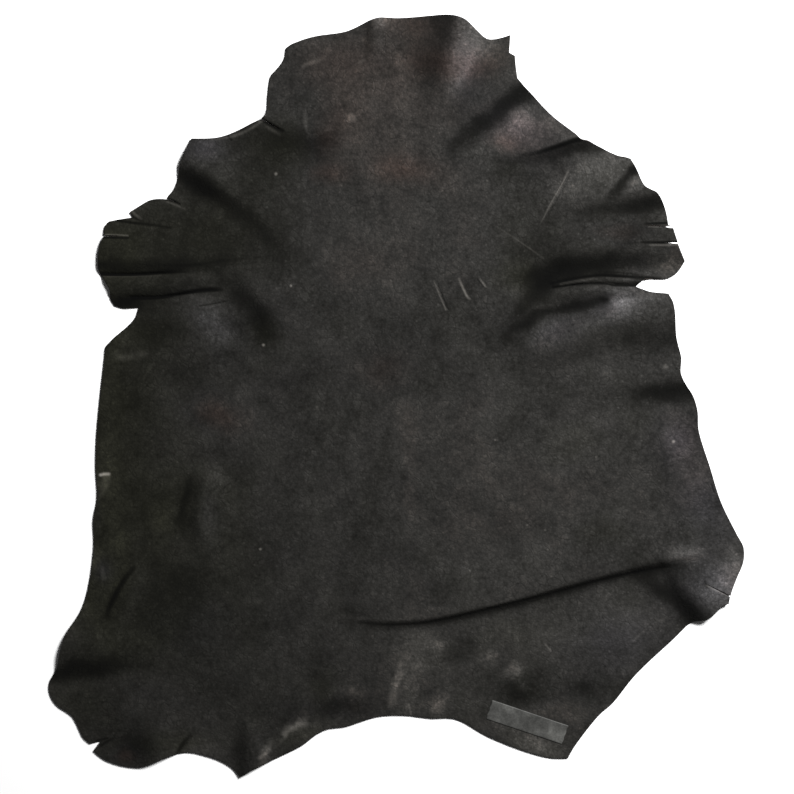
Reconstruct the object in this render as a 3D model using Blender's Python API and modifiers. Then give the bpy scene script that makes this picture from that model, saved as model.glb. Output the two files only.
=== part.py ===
"""A whole goat hide, tanned and dyed black, lying grain side up with its neck and legs spread.

Run with: blender --background --python part.py. Metres, +Z up, the neck towards +Y.
The sheet rests on z = 0: its broad middle is flat, and its folds stand up from there.
"""

import math
from collections import namedtuple

import bpy
from mathutils import Vector, geometry

MM = 0.001

HIDE_LENGTH = 913.0  # mm, neck edge to the longest hind toe
LEATHER_THICKNESS = 1.5  # mm, a light upholstery or garment weight
EDGE_STEP = 8.5  # mm between the points of the trimmed edge
FOLD_STEP = 13.0  # mm between the stations along a fold
FLAT_STEP = 27.0  # mm between the points where the leather lies flat
CLOSEST = 0.5  # the least distance between two points on the flat, as a share of their step
CLOSEST_ON_FOLD = 0.3  # the same on a fold, as a share of its narrower side
SLOPE_SHARES = (0.33, 0.67)  # where the mesh has lines between a fold's crest and its foot
INSIDE = 1  # the triangulation keeps only what lies inside the edge
JOIN = 0.001  # mm

TAPE_LENGTH = 96.0  # mm
TAPE_WIDTH = 24.0  # mm
TAPE_THICKNESS = 0.25  # mm
TAPE_GAP = 0.3  # mm, between the leather and the tape
TAPE_CENTRE = (156.6, -390.6)  # mm
TAPE_TURN = math.radians(-18.6)

BLACK_LEATHER = "#2F2E2C"
LEATHER_ROUGHNESS = 0.62
GREY_TAPE = "#55534F"
TAPE_ROUGHNESS = 0.5
SHARP_ANGLE = math.radians(40)  # an edge that turns by more than this stays sharp

SMOOTH = "smooth"
CORNER = "corner"

EdgePoint = namedtuple("EdgePoint", "x y turn")
Crest = namedtuple("Crest", "x y height")
Fold = namedtuple("Fold", "name left right crest")
Slit = namedtuple("Slit", "name mouth tip width")

# The trimmed edge in stretches that follow one another anticlockwise, seen from above.
# Columns: x mm, y mm, how the edge turns there.
NECK_EDGE = (
    (0.5, 453.5, SMOOTH),
    (-20.0, 454.0, SMOOTH),
    (-38.0, 447.0, SMOOTH),
    (-59.5, 437.5, SMOOTH),
    (-97.0, 431.5, SMOOTH),
    (-118.0, 425.0, SMOOTH),
    (-131.5, 417.5, SMOOTH),
    (-133.5, 405.0, SMOOTH),
    (-142.0, 393.0, SMOOTH),
    (-149.5, 384.5, SMOOTH),
    (-153.0, 365.0, SMOOTH),
    (-154.5, 338.0, CORNER),
)
LEFT_SHOULDER_EDGE = (
    (-172.0, 327.5, SMOOTH),
    (-205.0, 312.5, SMOOTH),
    (-224.0, 309.0, SMOOTH),
    (-245.0, 308.5, CORNER),
    (-257.5, 279.0, SMOOTH),
    (-261.0, 260.0, SMOOTH),
    (-267.0, 246.5, SMOOTH),
    (-276.0, 237.0, CORNER),
)
LEFT_FORELEG_EDGE = (
    (-287.0, 236.5, SMOOTH),
    (-296.0, 234.5, SMOOTH),
    (-306.5, 228.5, SMOOTH),
    (-318.5, 221.0, CORNER),
    (-315.0, 214.5, CORNER),
    (-332.0, 212.0, SMOOTH),
    (-344.0, 209.5, SMOOTH),
    (-349.0, 203.0, SMOOTH),
    (-350.0, 194.0, SMOOTH),
    (-354.5, 179.5, SMOOTH),
    (-356.5, 161.5, SMOOTH),
    (-354.5, 147.0, SMOOTH),
    (-342.5, 128.0, SMOOTH),
    (-342.0, 117.0, SMOOTH),
    (-337.0, 108.5, SMOOTH),
    (-327.0, 105.5, SMOOTH),
    (-308.0, 106.5, CORNER),
)
LEFT_FLANK_EDGE = (
    (-311.5, 95.5, SMOOTH),
    (-322.0, 83.5, SMOOTH),
    (-338.0, 70.0, SMOOTH),
    (-347.5, 59.5, CORNER),
    (-350.0, 38.0, SMOOTH),
    (-358.0, -40.0, SMOOTH),
    (-359.5, -88.0, SMOOTH),
    (-358.0, -122.0, SMOOTH),
    (-362.5, -148.0, SMOOTH),
    (-362.0, -184.0, SMOOTH),
    (-374.0, -249.0, SMOOTH),
    (-397.0, -290.0, SMOOTH),
    (-407.0, -328.0, SMOOTH),
)
LEFT_HIND_EDGE = (
    (-414.5, -341.0, SMOOTH),
    (-415.8, -351.0, SMOOTH),
    (-412.0, -363.0, SMOOTH),
    (-404.0, -372.5, SMOOTH),
    (-388.0, -383.5, SMOOTH),
    (-374.0, -410.0, SMOOTH),
    (-366.5, -416.5, CORNER),
    (-353.5, -413.0, CORNER),
    (-362.5, -425.0, CORNER),
    (-348.5, -436.0, SMOOTH),
    (-309.0, -445.0, SMOOTH),
    (-272.0, -431.5, SMOOTH),
    (-250.0, -427.0, SMOOTH),
    (-231.0, -430.0, SMOOTH),
    (-209.5, -437.5, SMOOTH),
    (-196.0, -446.0, SMOOTH),
    (-185.5, -456.5, CORNER),
)
RUMP_EDGE = (
    (-168.5, -446.0, SMOOTH),
    (-111.0, -418.0, SMOOTH),
    (-95.5, -406.0, SMOOTH),
    (-80.0, -398.5, SMOOTH),
    (-60.5, -396.0, SMOOTH),
    (-21.0, -384.0, SMOOTH),
    (10.0, -382.5, SMOOTH),
    (43.0, -386.0, SMOOTH),
    (71.5, -387.0, SMOOTH),
    (112.0, -408.5, SMOOTH),
    (167.5, -429.5, SMOOTH),
    (189.0, -434.0, SMOOTH),
    (206.5, -434.0, CORNER),
)
RIGHT_HIND_EDGE = (
    (213.0, -422.0, SMOOTH),
    (244.0, -382.0, SMOOTH),
    (260.0, -368.0, SMOOTH),
    (287.5, -334.0, SMOOTH),
    (334.0, -290.0, SMOOTH),
    (356.0, -270.0, SMOOTH),
    (374.0, -266.0, SMOOTH),
    (390.5, -251.5, SMOOTH),
    (398.0, -249.0, CORNER),
    (399.5, -241.0, CORNER),
    (410.0, -215.5, SMOOTH),
    (416.8, -198.5, SMOOTH),
    (416.8, -180.5, SMOOTH),
    (410.0, -167.5, SMOOTH),
)
RIGHT_FLANK_EDGE = (
    (390.5, -128.0, SMOOTH),
    (377.0, -86.0, SMOOTH),
    (363.0, -40.0, SMOOTH),
    (362.0, -18.5, SMOOTH),
    (357.0, -0.5, SMOOTH),
    (341.0, 28.0, SMOOTH),
    (342.5, 44.0, SMOOTH),
    (335.5, 75.0, SMOOTH),
    (332.0, 113.0, SMOOTH),
    (327.0, 123.0, CORNER),
    (305.0, 125.5, SMOOTH),
    (288.0, 131.5, CORNER),
)
RIGHT_FORELEG_EDGE = (
    (294.5, 138.5, SMOOTH),
    (304.0, 140.5, SMOOTH),
    (325.0, 141.0, SMOOTH),
    (337.0, 148.0, SMOOTH),
    (346.0, 163.0, CORNER),
    (336.0, 183.0, CORNER),
    (332.5, 201.0, CORNER),
    (326.5, 204.0, CORNER),
    (325.0, 217.0, SMOOTH),
    (320.0, 233.5, SMOOTH),
    (311.5, 245.0, SMOOTH),
    (298.0, 251.0, SMOOTH),
    (287.5, 274.0, SMOOTH),
    (281.5, 284.5, SMOOTH),
)
RIGHT_SHOULDER_EDGE = (
    (268.0, 288.0, SMOOTH),
    (254.0, 294.0, SMOOTH),
    (230.0, 307.0, SMOOTH),
    (221.0, 308.5, CORNER),
    (190.0, 333.0, SMOOTH),
    (160.0, 365.5, SMOOTH),
    (144.5, 381.0, CORNER),
    (143.0, 406.0, CORNER),
    (136.0, 410.5, CORNER),
    (137.5, 432.5, CORNER),
    (124.0, 429.0, SMOOTH),
    (110.0, 428.5, SMOOTH),
    (98.0, 437.5, SMOOTH),
    (81.0, 452.0, SMOOTH),
    (64.0, 456.0, SMOOTH),
    (46.0, 455.5, SMOOTH),
)
EDGE_STRETCHES = (
    NECK_EDGE,
    LEFT_SHOULDER_EDGE,
    LEFT_FORELEG_EDGE,
    LEFT_FLANK_EDGE,
    LEFT_HIND_EDGE,
    RUMP_EDGE,
    RIGHT_HIND_EDGE,
    RIGHT_FLANK_EDGE,
    RIGHT_FORELEG_EDGE,
    RIGHT_SHOULDER_EDGE,
)

# Short knife cuts that open the edge. Columns: name, mouth on the edge, inner tip, width of the mouth, in mm.
SLITS = (
    Slit("neck cut", (-161.5, 333.0), (-138.5, 320.0), 1.6),
    Slit("foreleg top cut", (-275.0, 237.0), (-258.0, 230.5), 1.8),
    Slit("left foreleg cut", (-351.0, 192.5), (-321.0, 191.5), 1.6),
    Slit("right foreleg upper cut", (331.5, 202.0), (294.0, 204.5), 3.0),
    Slit("right foreleg lower cut", (336.0, 183.0), (299.0, 183.5), 1.6),
    Slit("hind foot cut", (399.5, -240.0), (371.0, -225.5), 1.8),
)

# The folds. Each stands up along its crest and runs out to the flat sheet on both sides.
# Columns: name, reach to the left of the crest's run, reach to its right, crest points (x, y, height), in mm.
FOLDS = (
    Fold("flank fold", 60, 12, (
        Crest(-80, -265, 0), Crest(4, -266, 3.5), Crest(100, -249, 6), Crest(196, -224, 6.5),
        Crest(292, -200, 6.5), Crest(340, -191, 4), Crest(379, -185, 1),
    )),
    Fold("right hind foot ridge", 50, 26, (
        Crest(314, -177, 0), Crest(330, -201, 5), Crest(350, -230, 8), Crest(364, -251, 9), Crest(381, -273, 9),
    )),
    Fold("neck ridge", 38, 40, (
        Crest(73, 464, 8), Crest(68, 428, 7.5), Crest(59, 389, 5.5), Crest(47, 346, 0),
    )),
    Fold("upper neck fold", 26, 34, (
        Crest(153, 401, 10), Crest(134, 380, 10), Crest(112, 358, 8.5), Crest(88, 341, 6), Crest(59, 320, 0),
    )),
    Fold("lower neck fold", 16, 56, (
        Crest(247, 320, 11), Crest(213, 307, 10), Crest(167, 293, 6), Crest(139, 287, 3), Crest(105, 284, 0),
    )),
    Fold("right shoulder swell", 26, 46, (
        Crest(331, 253, 10), Crest(292, 247, 9), Crest(250, 239, 6.5), Crest(208, 230, 3.5), Crest(172, 221, 0),
    )),
    Fold("right foreleg ridge", 30, 40, (
        Crest(357, 178, 9), Crest(304, 179, 10), Crest(244, 181, 11), Crest(202, 176, 9), Crest(166, 166, 4),
        Crest(136, 152, 0),
    )),
    Fold("right armpit pleat", 10, 18, (
        Crest(148, 101, 0), Crest(176, 116, 3), Crest(202, 124, 5), Crest(230, 128, 5.5), Crest(280, 128, 0),
    )),
    Fold("right elbow swell", 40, 26, (
        Crest(345, 94, 8), Crest(292, 94, 9), Crest(259, 92, 10), Crest(223, 79, 9), Crest(184, 58, 6),
        Crest(142, 32, 0),
    )),
    Fold("right edge pleat", 24, 26, (
        Crest(359, 29, 6), Crest(326, 25, 5.5), Crest(295, 17, 3.5), Crest(261, 8, 0),
    )),
    Fold("right flank swell", 56, 12, (
        Crest(321, -2, 0), Crest(320, -34, 2.5), Crest(319, -70, 4), Crest(322, -106, 3.5), Crest(328, -148, 0),
    )),
    Fold("neck nip", 16, 12, (
        Crest(-27, 461, 3), Crest(-28, 430, 2.5), Crest(-32, 399, 0),
    )),
    Fold("left neck cut fold", 14, 36, (
        Crest(-171, 338, 4.5), Crest(-137, 329, 4.5), Crest(-101, 321, 3), Crest(-65, 305, 0),
    )),
    Fold("left shoulder ridge", 44, 24, (
        Crest(-267, 277, 4), Crest(-236, 265, 7), Crest(-203, 245, 8), Crest(-176, 224, 6), Crest(-152, 200, 3),
        Crest(-128, 178, 0),
    )),
    Fold("left foreleg ridge", 34, 24, (
        Crest(-365, 171, 3), Crest(-332, 171, 4.5), Crest(-302, 171, 5), Crest(-260, 170, 3.5),
        Crest(-218, 169, 1.5), Crest(-182, 173, 0),
    )),
    Fold("left foreleg under-ridge", 10, 17, (
        Crest(-358, 137, 2.5), Crest(-296, 137, 3.5), Crest(-248, 140, 2.5), Crest(-207, 140, 0),
    )),
    Fold("left elbow ridge", 40, 24, (
        Crest(-202, 159, 0), Crest(-181, 142, 5), Crest(-160, 121, 7), Crest(-146, 94, 6.5), Crest(-141, 58, 0),
    )),
    Fold("left elbow swell", 46, 48, (
        Crest(-248, 116, 2), Crest(-241, 82, 6), Crest(-238, 53, 5), Crest(-248, 8, 0),
    )),
    Fold("left flank ridge", 26, 24, (
        Crest(-224, -83, 0), Crest(-234, -119, 4), Crest(-238, -155, 4.5), Crest(-236, -179, 3), Crest(-229, -203, 0),
    )),
    Fold("left stifle crease", 30, 10, (
        Crest(-301, -179, 0), Crest(-313, -211, 2.5), Crest(-326, -235, 3), Crest(-338, -259, 2),
        Crest(-346, -287, 0),
    )),
    Fold("left hind ridge", 44, 32, (
        Crest(-423, -307, 4), Crest(-380, -304, 6.5), Crest(-338, -305, 5), Crest(-296, -307, 2.5),
        Crest(-250, -307, 0),
    )),
    Fold("left hind toe ridge", 18, 28, (
        Crest(-176, -472, 5), Crest(-176, -427, 5), Crest(-179, -379, 0),
    )),
    Fold("left hind toe swell", 34, 28, (
        Crest(-284, -458, 4.5), Crest(-287, -415, 4), Crest(-296, -379, 0),
    )),
)


def clear_scene():
    for obj in list(bpy.data.objects):
        bpy.data.objects.remove(obj, do_unlink=True)


def blend_knots(before, after, t_before, t_after, t):
    """The point at knot t on the line from one point to another, in any number of dimensions."""
    share = (t - t_before) / (t_after - t_before)
    return before.lerp(after, share)


def curve_between(a, b, c, d, step):
    """Points from b up to c on the centripetal Catmull-Rom curve through a, b, c and d."""
    knots = [0.0]
    for first, second in ((a, b), (b, c), (c, d)):
        knots.append(knots[-1] + math.sqrt((second - first).length))
    count = max(1, round((c - b).length / step))
    points = []
    for i in range(count):
        t = knots[1] + (knots[2] - knots[1]) * i / count
        ab = blend_knots(a, b, knots[0], knots[1], t)
        bc = blend_knots(b, c, knots[1], knots[2], t)
        cd = blend_knots(c, d, knots[2], knots[3], t)
        abc = blend_knots(ab, bc, knots[0], knots[2], t)
        bcd = blend_knots(bc, cd, knots[1], knots[3], t)
        points.append(blend_knots(abc, bcd, knots[1], knots[2], t))
    return points


def smooth_run(points, step):
    """A smooth open run through all the points, its last point included."""
    before = points[0] * 2 - points[1]
    after = points[-1] * 2 - points[-2]
    padded = [before, *points, after]
    run = []
    for a, b, c, d in zip(padded, padded[1:], padded[2:], padded[3:]):
        run += curve_between(a, b, c, d, step)
    return run + [points[-1]]


def trimmed_edge():
    """The closed edge of the skin: smooth between its corners, centred on the origin."""
    rows = [EdgePoint(*row) for stretch in EDGE_STRETCHES for row in stretch]
    first = next(i for i, row in enumerate(rows) if row.turn == CORNER)
    rows = rows[first:] + rows[: first + 1]
    edge = []
    run = [Vector((rows[0].x, rows[0].y))]
    for row in rows[1:]:
        run.append(Vector((row.x, row.y)))
        if row.turn == CORNER:
            edge += smooth_run(run, EDGE_STEP)[:-1]
            run = run[-1:]
    return centred(edge)


def centred(points):
    xs = [point.x for point in points]
    ys = [point.y for point in points]
    middle = Vector(((min(xs) + max(xs)) / 2, (min(ys) + max(ys)) / 2))
    size = HIDE_LENGTH / (max(ys) - min(ys))
    return [(point - middle) * size for point in points]


def with_slit(edge, slit):
    """The edge with one narrow wedge cut into it."""
    mouth = Vector(slit.mouth)
    tip = Vector(slit.tip)
    across = (mouth - tip).normalized().orthogonal() * (slit.width / 2)
    nearest = min(range(len(edge)), key=lambda i: (edge[i] - mouth).length)
    before = edge[nearest - 1]
    if (mouth + across - before).length > (mouth - across - before).length:
        across = -across
    wedge = [mouth + across, tip, mouth - across]
    return edge[:nearest] + wedge + edge[nearest + 1 :]


def crest_run(fold):
    """The fold's crest as a smooth run of points, each with the height there as its third number."""
    return smooth_run([Vector(point) for point in fold.crest], FOLD_STEP)


def height_beside(fold, run, x, y):
    """How high one fold lifts the sheet at a place."""
    place = Vector((x, y))
    nearest = None
    for start, end in zip(run, run[1:]):
        along = end.xy - start.xy
        share = min(1.0, max(0.0, (place - start.xy).dot(along) / along.length_squared))
        offset = place - (start.xy + along * share)
        if nearest is None or offset.length < nearest[0]:
            side = along.x * offset.y - along.y * offset.x
            crest = start.z + (end.z - start.z) * share
            nearest = (offset.length, side, crest)
    distance, side, crest = nearest
    reach = fold.left if side > 0 else fold.right
    if distance >= reach:
        return 0.0
    return max(0.0, crest) * 0.5 * (1 + math.cos(math.pi * distance / reach))


def lift(runs, x, y):
    """Height of the sheet's underside above the surface it lies on, in mm."""
    return sum(height_beside(fold, run, x, y) for fold, run in runs)


class Spaced:
    """Points that keep their distance from each other, on a grid of cells for speed."""

    CELL = 30.0

    def __init__(self):
        self.points = []
        self.cells = {}

    def cell(self, point):
        return (math.floor(point.x / self.CELL), math.floor(point.y / self.CELL))

    def clear_of(self, point, distance):
        column, row = self.cell(point)
        for i in (column - 1, column, column + 1):
            for j in (row - 1, row, row + 1):
                for other in self.cells.get((i, j), ()):
                    if (other - point).length < distance:
                        return False
        return True

    def add(self, point, distance=0.0):
        """The new point's number, or None where it would crowd another."""
        if distance and not self.clear_of(point, distance):
            return None
        self.points.append(point)
        self.cells.setdefault(self.cell(point), []).append(point)
        return len(self.points) - 1


def inside(edge, point):
    crossings = False
    for a, b in zip(edge, edge[1:] + edge[:1]):
        if (a.y > point.y) != (b.y > point.y):
            if point.x < (b.x - a.x) * (point.y - a.y) / (b.y - a.y) + a.x:
                crossings = not crossings
    return crossings


def fold_lines(fold, run):
    """Lines along a fold, for the mesh to follow: its crest, its feet and the slopes between."""
    offsets = [0.0, fold.left, -fold.right]
    offsets += [side * share for side in (fold.left, -fold.right) for share in SLOPE_SHARES]
    for offset in offsets:
        line = []
        for start, end in zip(run, run[1:]):
            along = (end.xy - start.xy).normalized()
            line.append(start.xy + Vector((-along.y, along.x)) * offset)
        yield line


def crosses_any(points, links, link):
    """Whether the line between two points crosses one that is already there."""
    a, b = (points[i] for i in link)
    for other in links:
        if not set(other) & set(link):
            c, d = (points[i] for i in other)
            if geometry.intersect_line_line_2d(a, b, c, d):
                return True
    return False


def add_fold_points(spaced, edge, fold, run, links):
    """Adds a fold's points, and links the neighbours along its lines where nothing is in the way."""
    nearest = min(FOLD_STEP, fold.left, fold.right) * CLOSEST_ON_FOLD
    for line in fold_lines(fold, run):
        last = None
        for point in line:
            number = spaced.add(point, nearest) if inside(edge, point) else None
            if last is not None and number is not None:
                if not crosses_any(spaced.points, links, (last, number)):
                    links.append((last, number))
            last = number


def sheet_points(edge, runs):
    """The points of the sheet (its edge, rows along its folds, an even spread between) and the rows' links."""
    spaced = Spaced()
    for point in edge:
        spaced.add(point)
    links = [(i, (i + 1) % len(edge)) for i in range(len(edge))]
    for fold, run in runs:
        add_fold_points(spaced, edge, fold, run, links)
    row_height = FLAT_STEP * math.sqrt(3) / 2
    half = HIDE_LENGTH / 2
    rows = int(HIDE_LENGTH / row_height) + 1
    columns = int(HIDE_LENGTH / FLAT_STEP) + 1
    for row in range(rows):
        for column in range(columns):
            x = -half + (column + 0.5 * (row % 2)) * FLAT_STEP
            point = Vector((x, -half + row * row_height))
            if inside(edge, point):
                spaced.add(point, FLAT_STEP * CLOSEST)
    return spaced.points, links


def principled(name, colour, roughness):
    material = bpy.data.materials.new(name)
    material.use_nodes = True
    shader = material.node_tree.nodes["Principled BSDF"]
    channels = [int(colour[i : i + 2], 16) / 255 for i in (1, 3, 5)]
    linear = [c / 12.92 if c <= 0.04045 else ((c + 0.055) / 1.055) ** 2.4 for c in channels]
    shader.inputs["Base Color"].default_value = (*linear, 1)
    shader.inputs["Roughness"].default_value = roughness
    shader.inputs["Metallic"].default_value = 0
    return material


def sheet_object(name, collection, points, faces, thickness, material):
    """A closed sheet: an open surface of points in mm, thickened upwards."""
    mesh = bpy.data.meshes.new(name)
    mesh.from_pydata([point * MM for point in points], [], faces)
    mesh.shade_smooth()
    mesh.set_sharp_from_angle(angle=SHARP_ANGLE)
    mesh.materials.append(material)
    obj = bpy.data.objects.new(name, mesh)
    collection.objects.link(obj)
    solidify = obj.modifiers.new("Thickness", "SOLIDIFY")
    solidify.thickness = thickness * MM
    solidify.offset = 1
    return obj


def make_hide(collection):
    edge = trimmed_edge()
    for slit in SLITS:
        edge = with_slit(edge, slit)
    runs = [(fold, crest_run(fold)) for fold in FOLDS]
    flat, links = sheet_points(edge, runs)
    points, _, faces, _, _, _ = geometry.delaunay_2d_cdt(flat, links, [], INSIDE, JOIN)
    lifted = [Vector((p.x, p.y, lift(runs, p.x, p.y))) for p in points]
    leather = principled("black dyed goat leather", BLACK_LEATHER, LEATHER_ROUGHNESS)
    return sheet_object("hide", collection, lifted, faces, LEATHER_THICKNESS, leather)


def make_tape(collection):
    """A short length of matt tape, cut square, lying just over the flat leather near the rump."""
    bpy.ops.mesh.primitive_cube_add(size=1)
    tape = bpy.context.active_object
    tape.name = "tape_strip"
    for vertex in tape.data.vertices:
        vertex.co.x *= TAPE_LENGTH * MM
        vertex.co.y *= TAPE_WIDTH * MM
        vertex.co.z *= TAPE_THICKNESS * MM
    middle = LEATHER_THICKNESS + TAPE_GAP + TAPE_THICKNESS / 2
    tape.location = (TAPE_CENTRE[0] * MM, TAPE_CENTRE[1] * MM, middle * MM)
    tape.rotation_euler.z = TAPE_TURN
    tape.data.materials.append(principled("matt grey tape", GREY_TAPE, TAPE_ROUGHNESS))
    for old in list(tape.users_collection):
        old.objects.unlink(tape)
    collection.objects.link(tape)
    return tape


def main():
    clear_scene()
    collection = bpy.data.collections.new("leather hide")
    bpy.context.scene.collection.children.link(collection)
    make_hide(collection)
    make_tape(collection)


main()
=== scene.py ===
"""A whole goat hide, tanned and dyed black, lying grain side up on a pale floor with a strip of tape on it.

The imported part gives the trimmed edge. This script adds the skin's fine shape (its folds, creases and cuts),
lays the tape over it, and gives both their finish. Plan sizes are in millimetres, as on a cutting table:
+X to the right, +Y towards the neck. MM turns them into metres.
"""

import math
from collections import namedtuple

import bmesh
import bpy
import numpy as np
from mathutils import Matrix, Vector, geometry, kdtree, noise


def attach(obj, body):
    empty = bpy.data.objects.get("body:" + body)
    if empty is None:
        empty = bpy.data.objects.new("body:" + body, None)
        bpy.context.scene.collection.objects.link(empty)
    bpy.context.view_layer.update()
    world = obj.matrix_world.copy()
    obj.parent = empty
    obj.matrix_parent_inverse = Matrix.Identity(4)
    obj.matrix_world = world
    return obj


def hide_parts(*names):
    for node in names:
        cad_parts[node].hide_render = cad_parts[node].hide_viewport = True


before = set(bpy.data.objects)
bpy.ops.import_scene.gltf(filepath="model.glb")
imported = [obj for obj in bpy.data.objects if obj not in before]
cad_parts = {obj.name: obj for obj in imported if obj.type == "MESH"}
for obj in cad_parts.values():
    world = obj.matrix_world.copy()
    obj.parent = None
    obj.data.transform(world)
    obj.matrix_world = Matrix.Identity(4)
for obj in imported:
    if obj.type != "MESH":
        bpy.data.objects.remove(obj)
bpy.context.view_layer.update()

MM = 0.001  # metres
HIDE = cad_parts["hide"]

THICKNESS = 1.5  # mm of leather
EDGE_STEP = 2.4  # mm between the points of the trimmed edge
EDGE_ROUNDING = 0.7  # mm from the edge to the row of points that keeps its rounding narrow
STILL_CLEAR = 0.8  # a point of that row is left out where less of its distance from the edge remains
CORNER_TURN = math.radians(38)  # the trimmed edge stays sharp where it turns by more than this
RIM_TURN = math.radians(62)  # the solid's faces meet at more than this along its upper and lower rim
STEEP = 0.7  # a line of the solid that rises by more than this share of its length isn't part of a rim
SHORTEST_RIM = 100  # points
FOLD_STEP = 6.0  # mm between the stations along a fold
MARK_STEP = 3.0  # mm between the stations along a crease or scratch
WIDE_STEP = 5.4  # mm between the points where the leather lies plain
CLOSE_STEP = 2.7  # mm beside folds
FINE_STEP = 1.35  # mm beside creases, cuts and scratches
DECIMALS = 2  # of a mm; points of two spreads that agree to these are one point
NARROW = 5.0  # mm; marks with less reach than this get the finest points
MOST_CLOSE = 12.0  # mm, how far from a fold's crest the points stay close
JOIN = 0.001  # mm
INSIDE = 1  # the triangulation keeps only what lies inside the edge

TAPE_LENGTH = 96.0  # mm
TAPE_WIDTH = 24.0  # mm
TAPE_THICKNESS = 0.2  # mm
TAPE_GAP = 0.1  # mm over the grain
TAPE_CENTRE = (156.6, -390.6)  # mm
TAPE_TURN = math.radians(-18.6)
TAPE_COLUMNS = 72
TAPE_ROWS = 18
TAPE_END_WAVE = 0.008  # how far its cut ends wave, as a share of its length
TAPE_END_WAVES = 17  # radians of that wave across its width

# Soft random waves, each the sum of its rows. Columns: width in mm along X and along Y, height in mm, and the
# level of the noise that a row is read at, which makes it differ from the others.
SKIN_WAVES = ((70, 55, 0.5, 3.7), (31, 27, 0.22, 8.1))
SKIN_RISE = 0.25  # mm, by which those waves are lifted; what is still below nought lies flat
RAGGED_X = ((26, 26, 5, 5.2), (8, 8, 2.5, 9.6))
RAGGED_Y = ((26, 26, 5, 12.9), (8, 8, 2.5, 2.1))
TAPE_RIPPLE = ((14, 9, 0.12, 1.3),)

ROUND = "round"
SHARP = "sharp"
ROLLED = "rolled"

Fold = namedtuple("Fold", "name left right crest left_form right_form", defaults=(ROUND, ROUND))
Mark = namedtuple("Mark", "name left right depth tone scuff run")
Spot = namedtuple("Spot", "name x y radius tone scuff")
Patch = namedtuple("Patch", "name x y along across tone warmth turn", defaults=(0, 0))

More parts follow.
